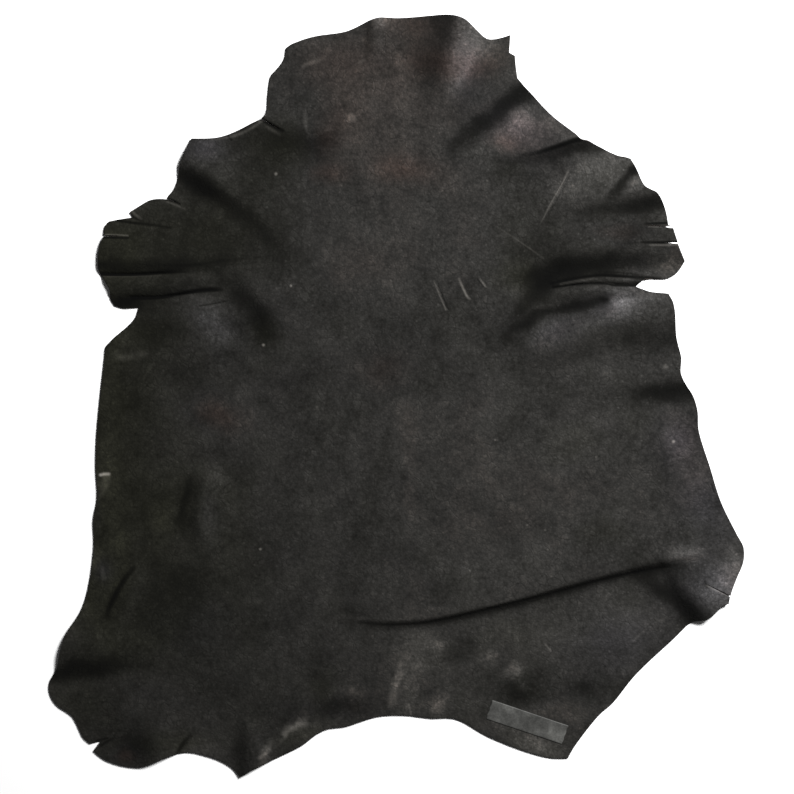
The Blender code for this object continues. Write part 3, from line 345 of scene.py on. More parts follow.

# Broad clouds of tone. Some are the dye's own unevenness and wear. Many are painted light and painted shade:
# lighter on slopes and ridges that face the window, darker in hollows, under folds and beside the tape. The
# broad ones on
# the left side darken it. Columns: name, centre x and y in mm, reach along and across in mm, tone in stops,
# warmth (1 is the brown of the ground, -1 the olive of a thin coat), turn in degrees. Warmth and turn are
# nought where they aren't given.
PATCHES = [Patch(*row) for row in (
    ("left side", -344, -4, 300, 108, -0.9, -0.75, 90),
    ("left haunch", -296, -268, 168, 144, -0.5, -0.4),
    ("left foreleg lobe", -326, 112, 26, 11, -2.88),
    ("left foreleg edge", -334, 176, 36, 36, -0.18, -0.73),
    ("neck cut shade", -142, 304, 62, 36, -1.3, -0.56, -10),
    ("neck side brown", -87, 307, 26, 29, -0.6, 0.84),
    ("neck middle", -14, 344, 96, 108, 0.3, 0.35),
    ("neck band brown", 52, 404, 24, 60, 0, 0.63, 90),
    ("neck light pink", 83, 392, 19, 48, 0.18, 0.73, 90),
    ("neck corner", 115, 413, 24, 31, 1),
    ("lower neck light", 148, 320, 67, 38, 1.3, 0.4, -28),
    ("lower neck light end", 130, 304, 26, 14, 0.6, 0.52, -10),
    ("lower neck edge light", 196, 320, 29, 11, 0.9, 0.1, -35),
    ("shoulder light", 242, 269, 55, 26, 1, -0.1, -8),
    ("shoulder light two", 196, 248, 36, 26, 0.6),
    ("shoulder tip light", 285, 256, 14, 11, 1.2),
    ("foreleg tan", 266, 197, 41, 14, 0.22, 0.52),
    ("foreleg tip", 328, 157, 34, 17, 2),
    ("foreleg edge", 335, 176, 17, 14, 0.54, 0.32),
    ("elbow bright", 268, 112, 34, 22, 2, 0, 10),
    ("elbow bright edge", 292, 125, 31, 7, 1.08, 0, -10),
    ("elbow light", 199, 82, 53, 22, 0.81, 0, 15),
    ("elbow light two", 178, 58, 29, 29, 0.63),
    ("right flank light", 352, -70, 72, 29, 0.3, 0.35, -72),
    ("right flank light low", 364, -124, 72, 31, 0.27, 0, -60),
    ("hind foot light", 374, -235, 26, 31, 1.1, -0.1),
    ("hind foot edge light", 403, -211, 41, 22, 2, -0.1, 78),
    ("rump pale", 14, -316, 84, 41, 0.45, 0, 90),
    ("rump pale spot two", 110, -311, 20, 14, 1.3, 0, 35),
    ("rump pale spot three", 141, -332, 16, 12, 3),
    ("rump edge spot", 51, -371, 22, 14, 2, 0, 80),
    ("rump edge pale", 26, -369, 36, 14, 0.72),
    ("rump shade", 74, -307, 24, 22, -0.9, -0.07),
    ("rump shade two", 148, -352, 36, 31, -1.1, -0.2),
    ("rump shade three", 230, -350, 31, 17, -0.9),
    ("rump brown", -64, -373, 55, 17, -1.2, 0.3, 6),
    ("rump light edge", -116, -407, 48, 19, 0.63, -0.42, 20),
    ("heel", 170, -422, 42, 13, 1.25, -0.1, -15),
    ("heel side", 199, -379, 46, 22, 0.95, 0, -20),
    ("rump right", 275, -277, 95, 62, 0.34, -0.05),
    ("outer toe shade", -316, -422, 26, 31, -1.08, 0.3),
    ("outer toe red", -327, -433, 19, 11, 0.18, 1),
    ("toe gap light", -230, -418, 53, 19, 0.36),
    ("toe dimple light", -242, -424, 14, 8, 0.54, 0.21),
    ("elbow patch", -220, 89, 43, 24, 0.5, -0.1, -48),
    ("elbow brown", -286, 77, 43, 26, -0.8, -0.28),
    ("flank pink", -217, -22, 43, 26, 0.05, 0.84, -15),
    ("chest pink", 10, 272, 53, 24, 0.18, 0.84),
    ("neck base pink", -80, 269, 36, 19, 0.09, 0.84),
    ("back pink", -14, 32, 31, 31, 0.09, 0.52),
    ("left edge olive", -351, 8, 132, 17, 0, -0.94, 90),
    ("stifle olive", -351, -226, 72, 31, 0, -0.94, 80),
    ("thigh olive", -296, -280, 72, 36, 0, -0.63, 30),
    ("foreleg lobe shade", -326, 115, 19, 8, -1.5, -0.35),
    ("right flank mauve", 338, -43, 36, 26, 0.4, 0.1, 80),
    ("right side shade", 242, -163, 41, 22, -0.5, -0.2, 10),
    ("left haunch shade", -257, -230, 55, 41, -0.7, -0.21),
    ("left flank round light", -281, -151, 24, 26, 0.5, -0.14),
    ("lower left grey", -308, -350, 84, 41, 0.25, 0.3),
    ("tape side shade", 105, -379, 12, 29, -0.7),
    ("tape top shade", 147, -359, 26, 12, -0.7, 0, -18),
    ("rump low pale", -56, -353, 31, 11, 0.7, 0, -8),
    ("rump left shade", -89, -352, 19, 36, -0.7, -0.28),
    ("chest grey", 52, 200, 144, 108, 0.2, 0.07),
    ("left shoulder", -236, 194, 120, 72, -0.75, -0.6),
    ("left neck base", -161, 262, 72, 41, -0.6, -0.2, 20),
    ("right shoulder", 160, 184, 96, 58, -0.5, -0.1),
    ("right armpit", 148, 146, 36, 36, -0.1, -0.5),
    ("loin left", -188, -232, 132, 53, -0.5, -0.2, 90),
    ("flank left", -254, -130, 96, 70, -0.45, -0.5),
    ("foot left", -371, -374, 66, 46, -0.42, -0.35),
    ("loin right", 148, -100, 192, 90, 0.3, 0.1),
    ("chest left", -37, 158, 62, 50, 0.45, 0.2),
    ("neck", 43, 410, 91, 60, 0.3, 0.2),
    ("rump", 151, -292, 160, 52, 0.5, -0.1, 10),
    ("lower neck under", 259, 286, 31, 14, 0.4, 0, -20),
    ("left flank edge", -341, -196, 84, 19, 0.35, -0.4, 82),
    ("foreleg tip left", -346, 182, 17, 31, 0.35, -0.3),
    ("elbow side shade", 307, 64, 55, 24, -0.8),
    ("breast shade", -80, 44, 180, 36, -0.2),
    ("spine light", 16, -76, 168, 12, 0.2, 0.1, 90),
    ("shoulder tip shade", 285, 274, 12, 8, -1.5),
    ("left shoulder top light", -226, 293, 24, 14, 0.3, 0.1),
    ("left elbow end shade", -161, 80, 22, 26, -0.7, -0.5),
    ("lower neck light two", 158, 333, 24, 16, 0.8, 0, -28),
    ("under lower neck", 135, 272, 36, 22, -0.8, -0.2),
    ("shoulder trough deep", -236, 247, 22, 16, -1.4, 0, -35),
    ("left chest", -131, 206, 62, 74, -0.35),
    ("elbow", -164, 128, 96, 60, -0.25),
    ("right chest", 105, 241, 110, 38, -0.35),
    ("right middle", 202, -52, 89, 46, -0.15, -0.2),
    ("toe", -158, -379, 65, 55, -0.45),
    ("rump edge", 160, -403, 96, 31, 0.85, -0.1, -18),
    ("left edge light", -341, -100, 180, 14, 0.4, -0.3, 89),
    ("rump spot five", 153, -347, 12, 8, 1),
    ("shoulder shade blob", 296, 231, 29, 14, -0.7),
    ("rump spot", 50, -299, 13, 12, 1.5),
    ("neck top light", -13, 449, 31, 17, 0.9),
    ("foreleg top", 283, 202, 79, 26, -0.75),
    ("foreleg root", -206, 161, 101, 41, -0.45),
    ("left flank top light", -332, 70, 26, 29, 0.5),
    ("armpit under", 148, 85, 34, 41, -0.9),
    ("elbow under", 232, 109, 79, 19, -0.7, 0, 8),
    ("back", 28, 80, 60, 41, -0.55),
    ("belly", -146, 22, 144, 29, -0.5),
    ("above fold middle", 70, -154, 41, 29, 0.35),
    ("rump spine", 19, -331, 72, 22, 0.8, 0, 90),
    ("rump upper", 86, -259, 65, 22, 0.35, 0, 8),
    ("toe low", -278, -415, 67, 22, -0.45, -0.5),
    ("flank light patch", 251, -81, 41, 43, 0.3),
    ("left edge spot light", -363, -196, 14, 24, 1.6),
    ("stifle", -302, -196, 41, 24, -0.4, -0.2),
    ("neck middle light", -63, 334, 29, 41, 0.5, 0.3),
    ("upper fold", 64, 365, 22, 19, 0.5),
    ("shoulder light low", 218, 245, 48, 18, 0.6, -0.1),
    ("elbow right", -142, 104, 31, 31, -0.35),
    ("chest side light", 64, 253, 29, 41, 0.35, 0.1),
    ("neck left brown", -74, 401, 62, 48, 0, 0.55),
    ("neck top brown", 28, 445, 65, 24, 0, 0.5),
    ("breast left shade", -193, 281, 29, 24, -0.3),
    ("chest top dark", -109, 298, 26, 43, -0.4),
    ("rump side light", 280, -326, 22, 17, 0.5),
    ("fold top light", 337, -191, 44, 14, 1.1),
    ("elbow bright core", 273, 110, 16, 11, 0.9, -0.25, 10),
    ("shoulder under light", 191, 284, 22, 17, -0.7),
    ("rump fold light", 107, -278, 31, 19, 0.5),
)]

# Where a faint blue-grey bloom lies on the dye, with the columns of PATCHES (strength in place of tone).
BLOOMS = [Patch(*row) for row in (
    ("right flank", 338, -52, 40, 36, 0.35, 0, 80),
    ("right flank low", 370, -130, 70, 44, 0.3, 0, -60),
    ("hind foot", 374, -228, 56, 52, 0.3),
    ("right rump", 262, -292, 80, 54, 0.25),
    ("right elbow", 262, 110, 60, 28, 0.25, 0, 15),
    ("right elbow light", 190, 78, 44, 26, 0.22, 0, 20),
    ("left shoulder top", -230, 298, 32, 20, 0.35),
    ("left elbow", -224, 90, 50, 30, 0.25, 0, -40),
    ("stifle edge", -352, -208, 16, 20, 0.4),
    ("left flank ridge", -226, -142, 22, 46, 0.2),
    ("neck light", 83, 392, 30, 60, 0.25),
    ("lower neck light", 148, 320, 66, 40, 0.25, 0, -28),
    ("left haunch", -250, -270, 110, 70, 0.2),
)]

# The tape's lighter and darker parts, with the columns of PATCHES.
TAPE_PATCHES = [Patch(*row) for row in (
    ("bright right end", 193, -404, 30, 12, 0.9),
    ("bright upper left", 137, -375, 20, 11, 0.5),
    ("wetted spot", 172, -411, 8, 4, -1.6),
    ("wetted middle", 160, -392, 16, 10, -0.3),
)]


def smooth_run(points, step):
    """A smooth open run (a centripetal Catmull-Rom curve) through points of any number of dimensions."""
    points = [np.array(point, float) for point in points]
    padded = [2 * points[0] - points[1], *points, 2 * points[-1] - points[-2]]
    run = []
    for a, b, c, d in zip(padded, padded[1:], padded[2:], padded[3:]):
        knots = np.cumsum([0.0] + [math.sqrt(np.linalg.norm(q - p)) for p, q in ((a, b), (b, c), (c, d))])
        count = max(1, round(np.linalg.norm(c - b) / step))
        for t in knots[1] + (knots[2] - knots[1]) * np.arange(count) / count:
            ab, bc, cd = (
                p + (q - p) * (t - knots[i]) / (knots[i + 1] - knots[i])
                for i, (p, q) in enumerate(((a, b), (b, c), (c, d)))
            )
            abc = ab + (bc - ab) * (t - knots[0]) / (knots[2] - knots[0])
            bcd = bc + (cd - bc) * (t - knots[1]) / (knots[3] - knots[1])
            run.append(abc + (bcd - abc) * (t - knots[1]) / (knots[2] - knots[1]))
    return np.array(run + [points[-1]])


def beside(run, places):
    """For each place: its distance from a run, whether it is on its left, and the run's other numbers."""
    distance = np.full(len(places), np.inf)
    left = np.zeros(len(places), bool)
    others = np.zeros((len(places), run.shape[1] - 2))
    for start, end in zip(run, run[1:]):
        along = end[:2] - start[:2]
        share = np.clip((places - start[:2]) @ along / (along @ along), 0, 1)
        offset = places - start[:2] - share[:, None] * along
        away = np.hypot(offset[:, 0], offset[:, 1])
        closer = away < distance
        distance[closer] = away[closer]
        left[closer] = (along[0] * offset[:, 1] > along[1] * offset[:, 0])[closer]
        others[closer] = (start[2:] + (end[2:] - start[2:]) * share[:, None])[closer]
    return distance, left, others


def near(run, places, reach):
    """Which places are within reach of the box that holds a run."""
    low, high = run[:, :2].min(axis=0) - reach, run[:, :2].max(axis=0) + reach
    return np.flatnonzero(((places > low) & (places < high)).all(axis=1))


def ease(share):
    """A share from nought to one, flattened at both ends."""
    share = np.clip(share, 0, 1)
    return share * share * (3 - 2 * share)


def fall(form, share):
    """How much of a fold's height is left at a share of the way from its crest to its foot."""
    share = np.clip(share, 0, 1)
    if form == SHARP:
        return (1 - share) ** 2 * (1 + 0.5 * share)
    if form == ROLLED:
        return 1 - share**4
    return 0.5 * (1 + np.cos(math.pi * share))


def trimmed_edge():
    """The skin's edge seen from above, in order and in mm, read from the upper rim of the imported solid."""
    solid = bmesh.new()
    solid.from_mesh(HIDE.data)
    bmesh.ops.remove_doubles(solid, verts=solid.verts, dist=JOIN * MM)
    neighbours = {}
    for edge in solid.edges:
        rise = abs(edge.verts[0].co.z - edge.verts[1].co.z)
        if rise > STEEP * edge.calc_length() or edge.calc_face_angle() < RIM_TURN:
            continue
        for here, there in (edge.verts, reversed(edge.verts)):
            neighbours.setdefault(here.index, []).append(there.index)
    loops = []
    left = set(neighbours)
    while left:
        loop = [min(left)]
        while loop[-1] in left:
            left.remove(loop[-1])
            onward = [n for n in neighbours[loop[-1]] if n in left]
            loop.append(onward[0] if onward else loop[0])
        loops.append(loop[:-1])
    solid.verts.ensure_lookup_table()
    rims = [[solid.verts[i].co.copy() for i in loop] for loop in loops if len(loop) > SHORTEST_RIM]
    solid.free()
    top = max(rims, key=lambda rim: sum(point.z for point in rim) / len(rim))
    return np.array([point.xy for point in top]) / MM


def rounded(edge):
    """The edge with its straight steps turned into curves, except at its corners."""
    before = edge - np.roll(edge, 1, axis=0)
    after = np.roll(edge, -1, axis=0) - edge
    turn = np.arctan2(
        before[:, 0] * after[:, 1] - before[:, 1] * after[:, 0], (before * after).sum(axis=1)
    )
    corners = np.flatnonzero(np.abs(turn) > CORNER_TURN)
    edge = np.roll(edge, -corners[0], axis=0)
    corners = np.append(corners - corners[0], len(edge))
    edge = np.append(edge, edge[:1], axis=0)
    runs = [smooth_run(edge[i : j + 1], EDGE_STEP)[:-1] for i, j in zip(corners, corners[1:])]
    return np.concatenate(runs)


def from_edge(edge, places):
    """How far each place is from the nearest point of the edge, in mm."""
    rim = kdtree.KDTree(len(edge))
    for i, (x, y) in enumerate(edge):
        rim.insert((x, y, 0), i)
    rim.balance()
    return np.array([rim.find((x, y, 0))[2] for x, y in places])


def inside(edge, places):
    """Which places lie within the edge."""
    crossings = np.zeros(len(places), bool)
    for a, b in zip(edge, np.roll(edge, -1, axis=0)):
        if a[1] != b[1]:
            spans = (a[1] > places[:, 1]) != (b[1] > places[:, 1])
            crossings ^= spans & (places[:, 0] < (b[0] - a[0]) * (places[:, 1] - a[1]) / (b[1] - a[1]) + a[0])
    return crossings


def set_in(edge, distance):
    """The edge's points moved in over the skin, save those that a corner or a notch would cross."""
    along = np.roll(edge, -1, axis=0) - np.roll(edge, 1, axis=0)
    across = np.stack((-along[:, 1], along[:, 0]), axis=1) / np.hypot(along[:, 0], along[:, 1])[:, None]
    turns = (edge[:, 0] * np.roll(edge[:, 1], -1) - edge[:, 1] * np.roll(edge[:, 0], -1)).sum()
    moved = edge + math.copysign(distance, turns) * across
    return moved[inside(edge, moved) & (from_edge(edge, moved) > STILL_CLEAR * distance)]


def lattice(low, high, step):
    """An even spread of points in rows, each row half a step along from the last."""
    row_height = step * math.sqrt(3) / 2
    rows = np.arange(math.floor(low[1] / row_height), math.ceil(high[1] / row_height) + 1)
    columns = np.arange(math.floor(low[0] / step) - 1, math.ceil(high[0] / step) + 1)
    row, column = (grid.ravel() for grid in np.meshgrid(rows, columns, indexing="ij"))
    return np.stack(((column + 0.5 * (row % 2)) * step, row * row_height), axis=1)


def around(run, reach, step):
    """The lattice's points within reach of a run."""
    places = lattice(run[:, :2].min(axis=0) - reach, run[:, :2].max(axis=0) + reach, step)
    return places[beside(run, places)[0] < reach]


def sheet_points(edge, fold_runs, mark_runs):
    """Points all over the sheet: plain ones, closer ones beside the folds and the finest beside the marks.

    Each step is twice the next, so that the spreads share points, and half a step stays free along the edge.
    """
    groups = [(WIDE_STEP, lattice(edge.min(axis=0), edge.max(axis=0), WIDE_STEP))]
    for fold, run in fold_runs:
        groups.append((CLOSE_STEP, around(run, min(fold.left, fold.right, MOST_CLOSE), CLOSE_STEP)))
    for mark, run in mark_runs:
        narrower, wider = sorted((mark.left, mark.right))
        if narrower < NARROW:
            groups.append((CLOSE_STEP, around(run, wider + 2 * CLOSE_STEP, CLOSE_STEP)))
            groups.append((FINE_STEP, around(run, narrower + FINE_STEP, FINE_STEP)))
    for spot in SPOTS:
        place = np.array(((spot.x, spot.y), (spot.x, spot.y + JOIN)))
        groups.append((FINE_STEP, around(place, spot.radius + 2 * FINE_STEP, FINE_STEP)))
    step_at = {}
    for step, places in groups:
        for x, y in places:
            step_at[(round(x, DECIMALS), round(y, DECIMALS))] = step
    places = np.array(list(step_at))
    steps = np.array(list(step_at.values()))
    return places[inside(edge, places) & (from_edge(edge, places) > 0.5 * np.maximum(steps, EDGE_STEP))]


def lift(fold_runs, places):
    """Height of the folds above the floor at each place, in mm."""
    height = np.zeros(len(places))
    for fold, run in fold_runs:
        most = run[:, 2].max()
        close = near(run, places, max(fold.left, fold.right))
        distance, left, others = beside(run, places[close])
        crest = most * ease(others[:, 0] / most)
        share = distance / (np.where(left, fold.left, fold.right) * others[:, 1])
        height[close] += crest * np.where(left, fall(fold.left_form, share), fall(fold.right_form, share))
    return height


def waves(rows, places):
    """A sum of soft random waves at each place, in mm."""
    return np.array([
        sum(height * noise.noise(Vector((x / wide, y / long, level))) for wide, long, height, level in rows)
        for x, y in places
    ])


def wandered(places):
    """The places moved a little, each its own way, so that a soft edge measured from them is ragged."""
    return places + np.stack((waves(RAGGED_X, places), waves(RAGGED_Y, places)), axis=1)


def marked(mark_runs, places, ragged):
    """What the marks do at each place: groove's depth in mm, tone in stops, much of it painted shade and
    painted light, and share of bared fibre.

    Broad ones are measured from the ragged places, so that their edges are soft and uneven.
    """
    depth = np.zeros(len(places))
    tone = np.zeros(len(places))
    scuff = np.zeros(len(places))
    for mark, run in mark_runs:
        here = places if min(mark.left, mark.right) < NARROW else ragged
        close = near(run, here, max(mark.left, mark.right))
        distance, left, others = beside(run, here[close])
        share = distance / np.where(left, mark.left, mark.right)
        strength = others[:, 0] * fall(ROUND, share)
        depth[close] += mark.depth * strength
        tone[close] += mark.tone * strength
        scuff[close] += mark.scuff * strength
    for spot in SPOTS:
        strength = fall(ROUND, np.hypot(*(places - (spot.x, spot.y)).T) / spot.radius)
        tone += spot.tone * strength
        scuff += spot.scuff * strength
    return depth, tone, scuff


def clouded(patches, places):
    """What a table of broad clouds comes to at each place: tone in stops, and warmth.

    A cloud is full at its centre and has faded to about a seventh at its reach.
    """
    tone = np.zeros(len(places))
    warmth = np.zeros(len(places))
    for patch in patches:
        turn = math.radians(patch.turn)
        offset = places - (patch.x, patch.y)
        along = (offset @ (math.cos(turn), math.sin(turn))) / patch.along
        across = (offset @ (-math.sin(turn), math.cos(turn))) / patch.across
        strength = np.exp(-2 * (along**2 + across**2))
        tone += patch.tone * strength
        warmth += patch.warmth * strength
    return tone, warmth


def linear(colour):
    """An sRGB hex colour as linear red, green, blue and alpha."""
    channels = [int(colour[i : i + 2], 16) / 255 for i in (1, 3, 5)]
    return (*[c / 12.92 if c <= 0.04045 else ((c + 0.055) / 1.055) ** 2.4 for c in channels], 1)


def add(tree, kind, inputs=None, **settings):
    """Adds one node. Its inputs are given by name or number, as values or as the sockets that feed them."""
    node = tree.nodes.new(kind)
    for key, value in settings.items():
        setattr(node, key, value)
    for key, value in (inputs or {}).items():
        if isinstance(value, bpy.types.NodeSocket):
            tree.links.new(value, node.inputs[key])
        else:
            node.inputs[key].default_value = value
    return node


def blank_material(name):
    """A new material with no nodes in it."""
    material = bpy.data.materials.new(name)
    material.use_nodes = True
    material.node_tree.nodes.clear()
    return material


MIX_A, MIX_B, MIX_RESULT = 6, 7, 2  # a colour Mix node's sockets


def total(tree, start, terms):
    """A sum of a start value or socket and of (socket, factor) terms."""
    for socket, factor in terms:
        inputs = {0: socket, 1: factor, 2: start}
        start = add(tree, "ShaderNodeMath", inputs, operation="MULTIPLY_ADD").outputs[0]
    return start


def layered(tree, colour, coats):
    """A colour with coats over it, each a (share, colour) that hides what is under it by that share."""
    for share, coat in coats:
        inputs = {0: share, MIX_A: colour, MIX_B: coat}
        colour = add(tree, "ShaderNodeMix", inputs, data_type="RGBA").outputs[MIX_RESULT]
    return colour


def toned(tree, colour, tone):
    """A colour made lighter or darker by a tone in stops."""
    strength = add(tree, "ShaderNodeMath", {0: 2.0, 1: tone}, operation="POWER").outputs[0]
    return add(tree, "ShaderNodeVectorMath", {0: colour, "Scale": strength}, operation="SCALE").outputs[0]


def cloud(tree, mm, size, detail=2.0, roughness=0.55):
    """Noise about nought, with lumps about size mm wide."""
    lumps = add(tree, "ShaderNodeTexNoise", {
        "Vector": mm, "Scale": 1 / size, "Detail": detail, "Roughness": roughness,
    }).outputs["Fac"]
    return add(tree, "ShaderNodeMath", {0: lumps, 1: 0.5}, operation="SUBTRACT").outputs[0]


def drawn(tree, distance, width, chance, faint, full, least=0.0):
    """A line or dot: one where the distance is nought and nought from width on, times its strength.

    Its strength goes from least to one while the chance goes from faint to full.
    """
    line, strength = (
        add(tree, "ShaderNodeMapRange", {
            "Value": value, "From Min": start, "From Max": end, "To Min": low, "To Max": 1.0,
        }).outputs["Result"]
        for value, start, end, low in ((distance, width, 0.0, 0.0), (chance, faint, full, least))
    )
    return add(tree, "ShaderNodeMath", {0: line, 1: strength}, operation="MULTIPLY").outputs[0]


def wrinkles(tree, mm, spacing, width, breaks):
    """One along hairlines about spacing mm apart, nought between them and where breaks, a cloud, is low."""
    bends = {"Vector": mm, "Scale": 1 / spacing, "Detail": 0.0}
    bent = add(tree, "ShaderNodeTexNoise", bends).outputs["Color"]
    place = add(tree, "ShaderNodeVectorMath", {
        0: bent, 1: (spacing, spacing, spacing), 2: mm,
    }, operation="MULTIPLY_ADD").outputs[0]
    lines = add(tree, "ShaderNodeTexVoronoi", {
        "Vector": place, "Scale": 1 / spacing,
    }, feature="DISTANCE_TO_EDGE").outputs["Distance"]
    return drawn(tree, lines, width / spacing, breaks, -0.05, 0.1)


def specks(tree, mm, spacing, radius):
    """Scattered dots of a radius in mm: one at the palest, below nought at the darkest, nought between."""
    dots = add(tree, "ShaderNodeTexVoronoi", {"Vector": mm, "Scale": 1 / spacing}).outputs
    return drawn(tree, dots["Distance"], radius / spacing, dots["Color"], 0.2, 0.8, -0.6)


def in_mm(tree):
    """The object's own coordinates in mm, so that the size of a pattern is in mm too."""
    place = add(tree, "ShaderNodeTexCoord").outputs["Object"]
    return add(tree, "ShaderNodeVectorMath", {0: place, "Scale": 1 / MM}, operation="SCALE").outputs[0]


def finished(tree, colour, roughness, specular, height=None, relief=0.0):
    """Ends a material with its shader, whose surface stands up by a height times relief in mm."""
    inputs = {"Base Color": colour, "Roughness": roughness, "Specular IOR Level": specular}
    if height is not None:
        bump = add(tree, "ShaderNodeBump", {"Height": height, "Strength": 1.0, "Distance": relief * MM})
        inputs["Normal"] = bump.outputs[0]
    shader = add(tree, "ShaderNodeBsdfPrincipled", inputs)
    add(tree, "ShaderNodeOutputMaterial", {"Surface": shader.outputs[0]})


# The sizes that the patterns are drawn at, in mm. Pebbles, wrinkles, flecks, fibres and
# frosting are too fine to show on a whole skin, so they are drawn coarser than real ones.
BROAD_DYE = 75
HUE_OF_DYE = 60
MOTTLED_DYE = 20
BLOTCHED_DYE = 5
PEBBLE = 2.6
WRINKLE_SPACING = 11
WRINKLE_WIDTH = 1.3
FLECK_SPACING = 6.5
FLECK_RADIUS = 2
FLESH_FIBRE = 1.1
EDGE_FIBRE = 0.8
TUFTS = 12  # fibres wide
UNWETTED = 9
FROSTING = 2.4


def dyed_goat_leather():
    """Goat grain, drum dyed black and lightly buffed.

    To the eye it is soft and matt with next to no shine. The drum leaves the dye cloudy, from olive where the
    coat is thin to brown where the ground shows, buffing bares pale fibre, and pebbles break up the light. The
    tone that the mesh carries also holds painted shade, in creases, cuts, hollows and beside folds, and
    painted light on the slopes that face the window.
    """
    material = blank_material("drum-dyed goat grain, matt")
    tree = material.node_tree
    mm = in_mm(tree)
    # The tone attribute holds painted shade and painted light as well as the dye's own clouds and wear.
    painted, warmth, bloom, scuff = (
        add(tree, "ShaderNodeAttribute", attribute_name=name).outputs["Fac"]
        for name in ("tone", "warmth", "bloom", "scuff")
    )
    broad = cloud(tree, mm, BROAD_DYE)
    mottle = cloud(tree, mm, MOTTLED_DYE)
    blotch = cloud(tree, mm, BLOTCHED_DYE, detail=3, roughness=0.7)
    hue = cloud(tree, mm, HUE_OF_DYE)
    pebble = add(tree, "ShaderNodeTexVoronoi", {"Vector": mm, "Scale": 1 / PEBBLE}).outputs["Distance"]
    patchy = add(tree, "ShaderNodeMath", {0: painted, 1: blotch}, operation="MULTIPLY").outputs[0]
    creases = wrinkles(tree, mm, WRINKLE_SPACING, WRINKLE_WIDTH, mottle)
    flecks = specks(tree, mm, FLECK_SPACING, FLECK_RADIUS)
    tone = total(tree, painted, (
        (patchy, 1.1), (broad, 2.2), (mottle, 2.0), (blotch, 2.0),
        (pebble, -0.72), (creases, -0.45), (flecks, 1.1),
    ))
    warmth = total(tree, warmth, ((hue, 0.5), (tone, 0.1)))
    coat, ground = (
        add(tree, "ShaderNodeMath", {0: warmth, 1: more}, operation="ADD", use_clamp=True).outputs[0]
        for more in (1.0, 0.0)
    )
    olive, black, brown, blue, fibre = (
        linear(colour) for colour in ("#23231A", "#242321", "#29211D", "#24232A", "#A8A39B")
    )
    dye = layered(tree, olive, ((coat, black), (ground, brown), (bloom, blue)))
    colour = layered(tree, toned(tree, dye, tone), ((scuff, fibre),))
    # The paler the leather, buffed or painted lighter, the smoother it is; where shade is painted it is
    # rougher, which dims the sheen there too.
    matt = add(tree, "ShaderNodeMapRange", {
        "Value": tone, "From Min": -1.6, "From Max": 0.6, "To Min": 1.0, "To Max": 0.54,
    }).outputs["Result"]
    height = total(tree, 0.0, ((mottle, 0.5), (blotch, 0.3), (pebble, -0.16), (creases, -0.15)))
    finished(tree, colour, matt, 0.13, height, 1.0)
    return material


def suede(name, colour, fibre_size):
    """Bare leather fibre, as on the buffed flesh side and along a knife-trimmed edge.

    Its nap, each fibre as wide as fibre_size in mm, takes all shine away and gives a soft, uneven tone.
    """
    material = blank_material(name)
    tree = material.node_tree
    mm = in_mm(tree)
    nap = cloud(tree, mm, fibre_size, roughness=0.7)
    tufts = cloud(tree, mm, TUFTS * fibre_size)
    shade = toned(tree, linear(colour)[:3], total(tree, 0.0, ((nap, 2.0), (tufts, 1.5))))
    finished(tree, shade, 0.95, 0.2, nap, 0.3)
    return material


def matt_tape_film():
    """Matt acetate tape, an extruded film with a frosted face.

    It is grey and sheenless over the black, and lighter where its adhesive has not wetted the grain.
    """
    material = blank_material("matt acetate tape film")
    tree = material.node_tree
    mm = in_mm(tree)
    unwetted = cloud(tree, mm, UNWETTED, detail=3, roughness=0.6)
    frosting = cloud(tree, mm, FROSTING)
    painted = add(tree, "ShaderNodeAttribute", attribute_name="tone").outputs["Fac"]
    tone = total(tree, painted, ((unwetted, 2.6), (frosting, 1.2)))
    finished(tree, toned(tree, linear("#3D3D3B")[:3], tone), 0.55, 0.2, unwetted, 0.5)
    return material


def white_floor_paint():
    """Flat white floor paint, rolled on: an even ground with no gloss."""
    material = blank_material("white floor paint")
    finished(material.node_tree, linear("#FFFFFF"), 0.9, 0.5)
    return material


def linked(name, data):
    """A new object in the scene, made of a mesh, a camera or a light."""
    thing = bpy.data.objects.new(name, data)
    bpy.context.scene.collection.objects.link(thing)
    return thing


def surface(name, places, height, faces):
    """A smooth open mesh at a height in mm over each place."""
    mesh = bpy.data.meshes.new(name)
    mesh.from_pydata([(x * MM, y * MM, z * MM) for (x, y), z in zip(places, height)], [], faces)
    mesh.shade_smooth()
    return mesh


def thickened(name, mesh, thickness):
    """A piece that stands on its mesh by a thickness in mm, and the modifier that makes it so."""
    piece = linked(name, mesh)
    solidify = piece.modifiers.new("Thickness", "SOLIDIFY")
    solidify.thickness = thickness * MM
    solidify.offset = 1
    return piece, solidify


def write(mesh, name, values):
    """Keeps one value for each point of a mesh, for its material to read."""
    mesh.attributes.new(name, "FLOAT", "POINT").data.foreach_set("value", np.asarray(values, np.float32))


def underside(fold_runs, mark_runs, places):
    """Height of the flesh side above the floor, in mm, with the marks' tone and scuff at each place."""
    depth, tone, scuff = marked(mark_runs, places, wandered(places))
    unevenness = np.maximum(0, waves(SKIN_WAVES, places) + SKIN_RISE)
    return np.maximum(0, lift(fold_runs, places) + unevenness - depth), tone, scuff


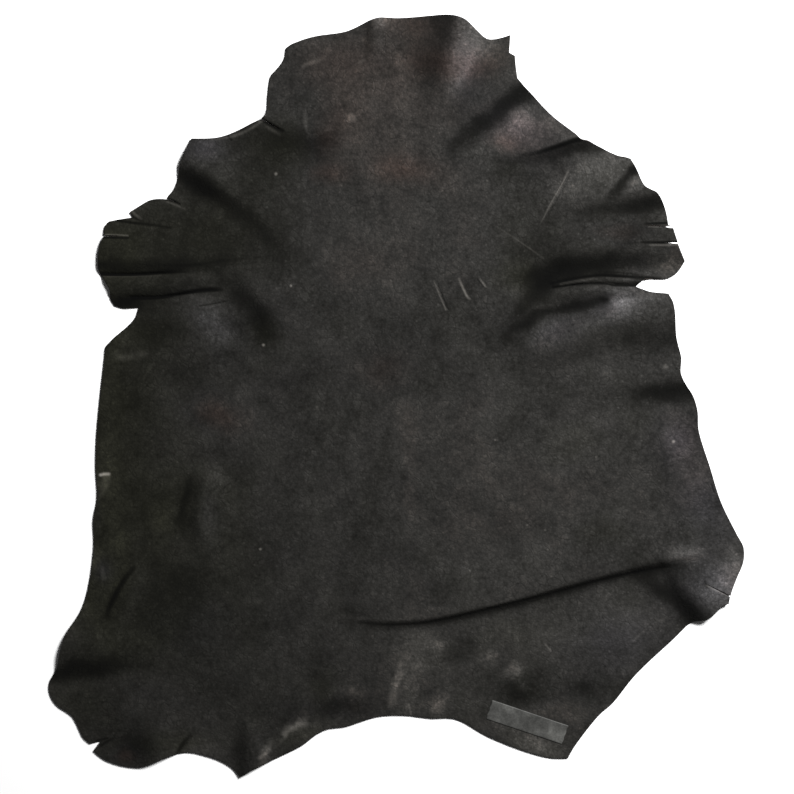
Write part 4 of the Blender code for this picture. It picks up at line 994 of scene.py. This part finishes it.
def make_hide(fold_runs, mark_runs):
    """The skin: its flesh side lies in folds over the floor, and the leather's thickness stands on it."""
    edge = rounded(trimmed_edge())
    flat = [Vector(point) for point in (
        *edge, *set_in(edge, EDGE_ROUNDING), *sheet_points(edge, fold_runs, mark_runs),
    )]
    links = [(i, (i + 1) % len(edge)) for i in range(len(edge))]
    points, _, faces, _, _, _ = geometry.delaunay_2d_cdt(flat, links, [], INSIDE, JOIN)
    places = np.array([point[:] for point in points])
    height, mark_tone, scuff = underside(fold_runs, mark_runs, places)
    cloud_tone, warmth = clouded(PATCHES, wandered(places))
    mesh = surface("hide", places, height, faces)
    # The tone holds the painted light and painted shade of the marks and clouds, as well as wear and the dye's
    # unevenness.
    write(mesh, "tone", mark_tone + cloud_tone)
    write(mesh, "warmth", warmth)
    write(mesh, "bloom", np.clip(clouded(BLOOMS, places)[0], 0, 1))
    write(mesh, "scuff", np.clip(scuff, 0, 1))
    mesh.materials.append(dyed_goat_leather())
    mesh.materials.append(suede("goat flesh side, lightly buffed", "#33312E", FLESH_FIBRE))
    mesh.materials.append(suede("trimmed leather edge", "#3A3430", EDGE_FIBRE))
    skin, solidify = thickened("goat_hide", mesh, THICKNESS)
    solidify.material_offset = 1
    solidify.material_offset_rim = 2
    return skin


def make_tape(fold_runs, mark_runs):
    """The tape: a thin film laid over the grain, its cut ends a little uneven."""
    columns = np.arange(0, TAPE_COLUMNS + 1) / TAPE_COLUMNS - 0.5
    rows = np.arange(0, TAPE_ROWS + 1) / TAPE_ROWS - 0.5
    along, across = (grid.ravel() for grid in np.meshgrid(columns, rows))
    end_wave = TAPE_END_WAVE * np.sin(across * TAPE_END_WAVES) * np.abs(along) * 2
    along = along * TAPE_LENGTH * (1 + end_wave)
    across = across * TAPE_WIDTH
    cos, sin = math.cos(TAPE_TURN), math.sin(TAPE_TURN)
    places = np.stack((
        TAPE_CENTRE[0] + along * cos - across * sin, TAPE_CENTRE[1] + along * sin + across * cos,
    ), axis=1)
    height = underside(fold_runs, mark_runs, places)[0] + THICKNESS + TAPE_GAP
    wide = TAPE_COLUMNS + 1
    faces = [
        (row * wide + i, row * wide + i + 1, (row + 1) * wide + i + 1, (row + 1) * wide + i)
        for row in range(TAPE_ROWS) for i in range(TAPE_COLUMNS)
    ]
    mesh = surface("tape", places, height + np.abs(waves(TAPE_RIPPLE, places)), faces)
    write(mesh, "tone", clouded(TAPE_PATCHES, places)[0])
    mesh.materials.append(matt_tape_film())
    return thickened("matt_tape", mesh, TAPE_THICKNESS)[0]


FLOOR_WIDTH = 30.0  # metres
FLOOR_GAP = 0.3  # mm under the leather
CAMERA_PLACE = (0.0006, -0.0006, 2.25)  # metres
CAMERA_LENS = 85  # mm
CAMERA_SENSOR = 36  # mm
WINDOW_PLACE = (1.38, 1.28, 1.78)  # metres
WINDOW_WIDTH = 1.1  # metres
WINDOW_POWER = 160  # watts
ROOM_LIGHT = 0.06  # strength of the even light from all round


def make_floor():
    """A pale floor far wider than the skin, just clear of it."""
    bpy.ops.mesh.primitive_plane_add(size=FLOOR_WIDTH, location=(0, 0, -FLOOR_GAP * MM))
    floor = bpy.context.active_object
    floor.name = "pale_floor"
    floor.data.materials.append(white_floor_paint())
    return floor


def make_camera():
    """Looks straight down on the skin."""
    camera = linked("camera", bpy.data.cameras.new("camera"))
    camera.data.lens = CAMERA_LENS
    camera.data.sensor_width = CAMERA_SENSOR
    camera.location = CAMERA_PLACE
    bpy.context.scene.camera = camera


def make_lights():
    """A low window at the upper right, and a dim room."""
    light = bpy.data.lights.new("window", "AREA")
    light.shape = "DISK"
    light.size = WINDOW_WIDTH
    light.energy = WINDOW_POWER
    window = linked("window", light)
    window.location = WINDOW_PLACE
    window.rotation_euler = (-Vector(WINDOW_PLACE)).to_track_quat("-Z", "Y").to_euler()
    world = bpy.data.worlds.new("room")
    world.use_nodes = True
    background = world.node_tree.nodes["Background"].inputs
    background["Color"].default_value = linear("#FFFFFF")
    background["Strength"].default_value = ROOM_LIGHT
    bpy.context.scene.world = world
    bpy.context.scene.view_settings.view_transform = "Standard"


make_camera()
make_lights()
floor = make_floor()
folds = [(fold, smooth_run(fold.crest, FOLD_STEP)) for fold in FOLDS]
marks = [(mark, smooth_run(mark.run, MARK_STEP)) for mark in MARKS]
hide = make_hide(folds, marks)
tape = make_tape(folds, marks)
for piece, node, finish in ((hide, "hide", "black_leather"), (tape, "tape_strip", "matt_tape")):
    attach(piece, "root")
    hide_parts(node)
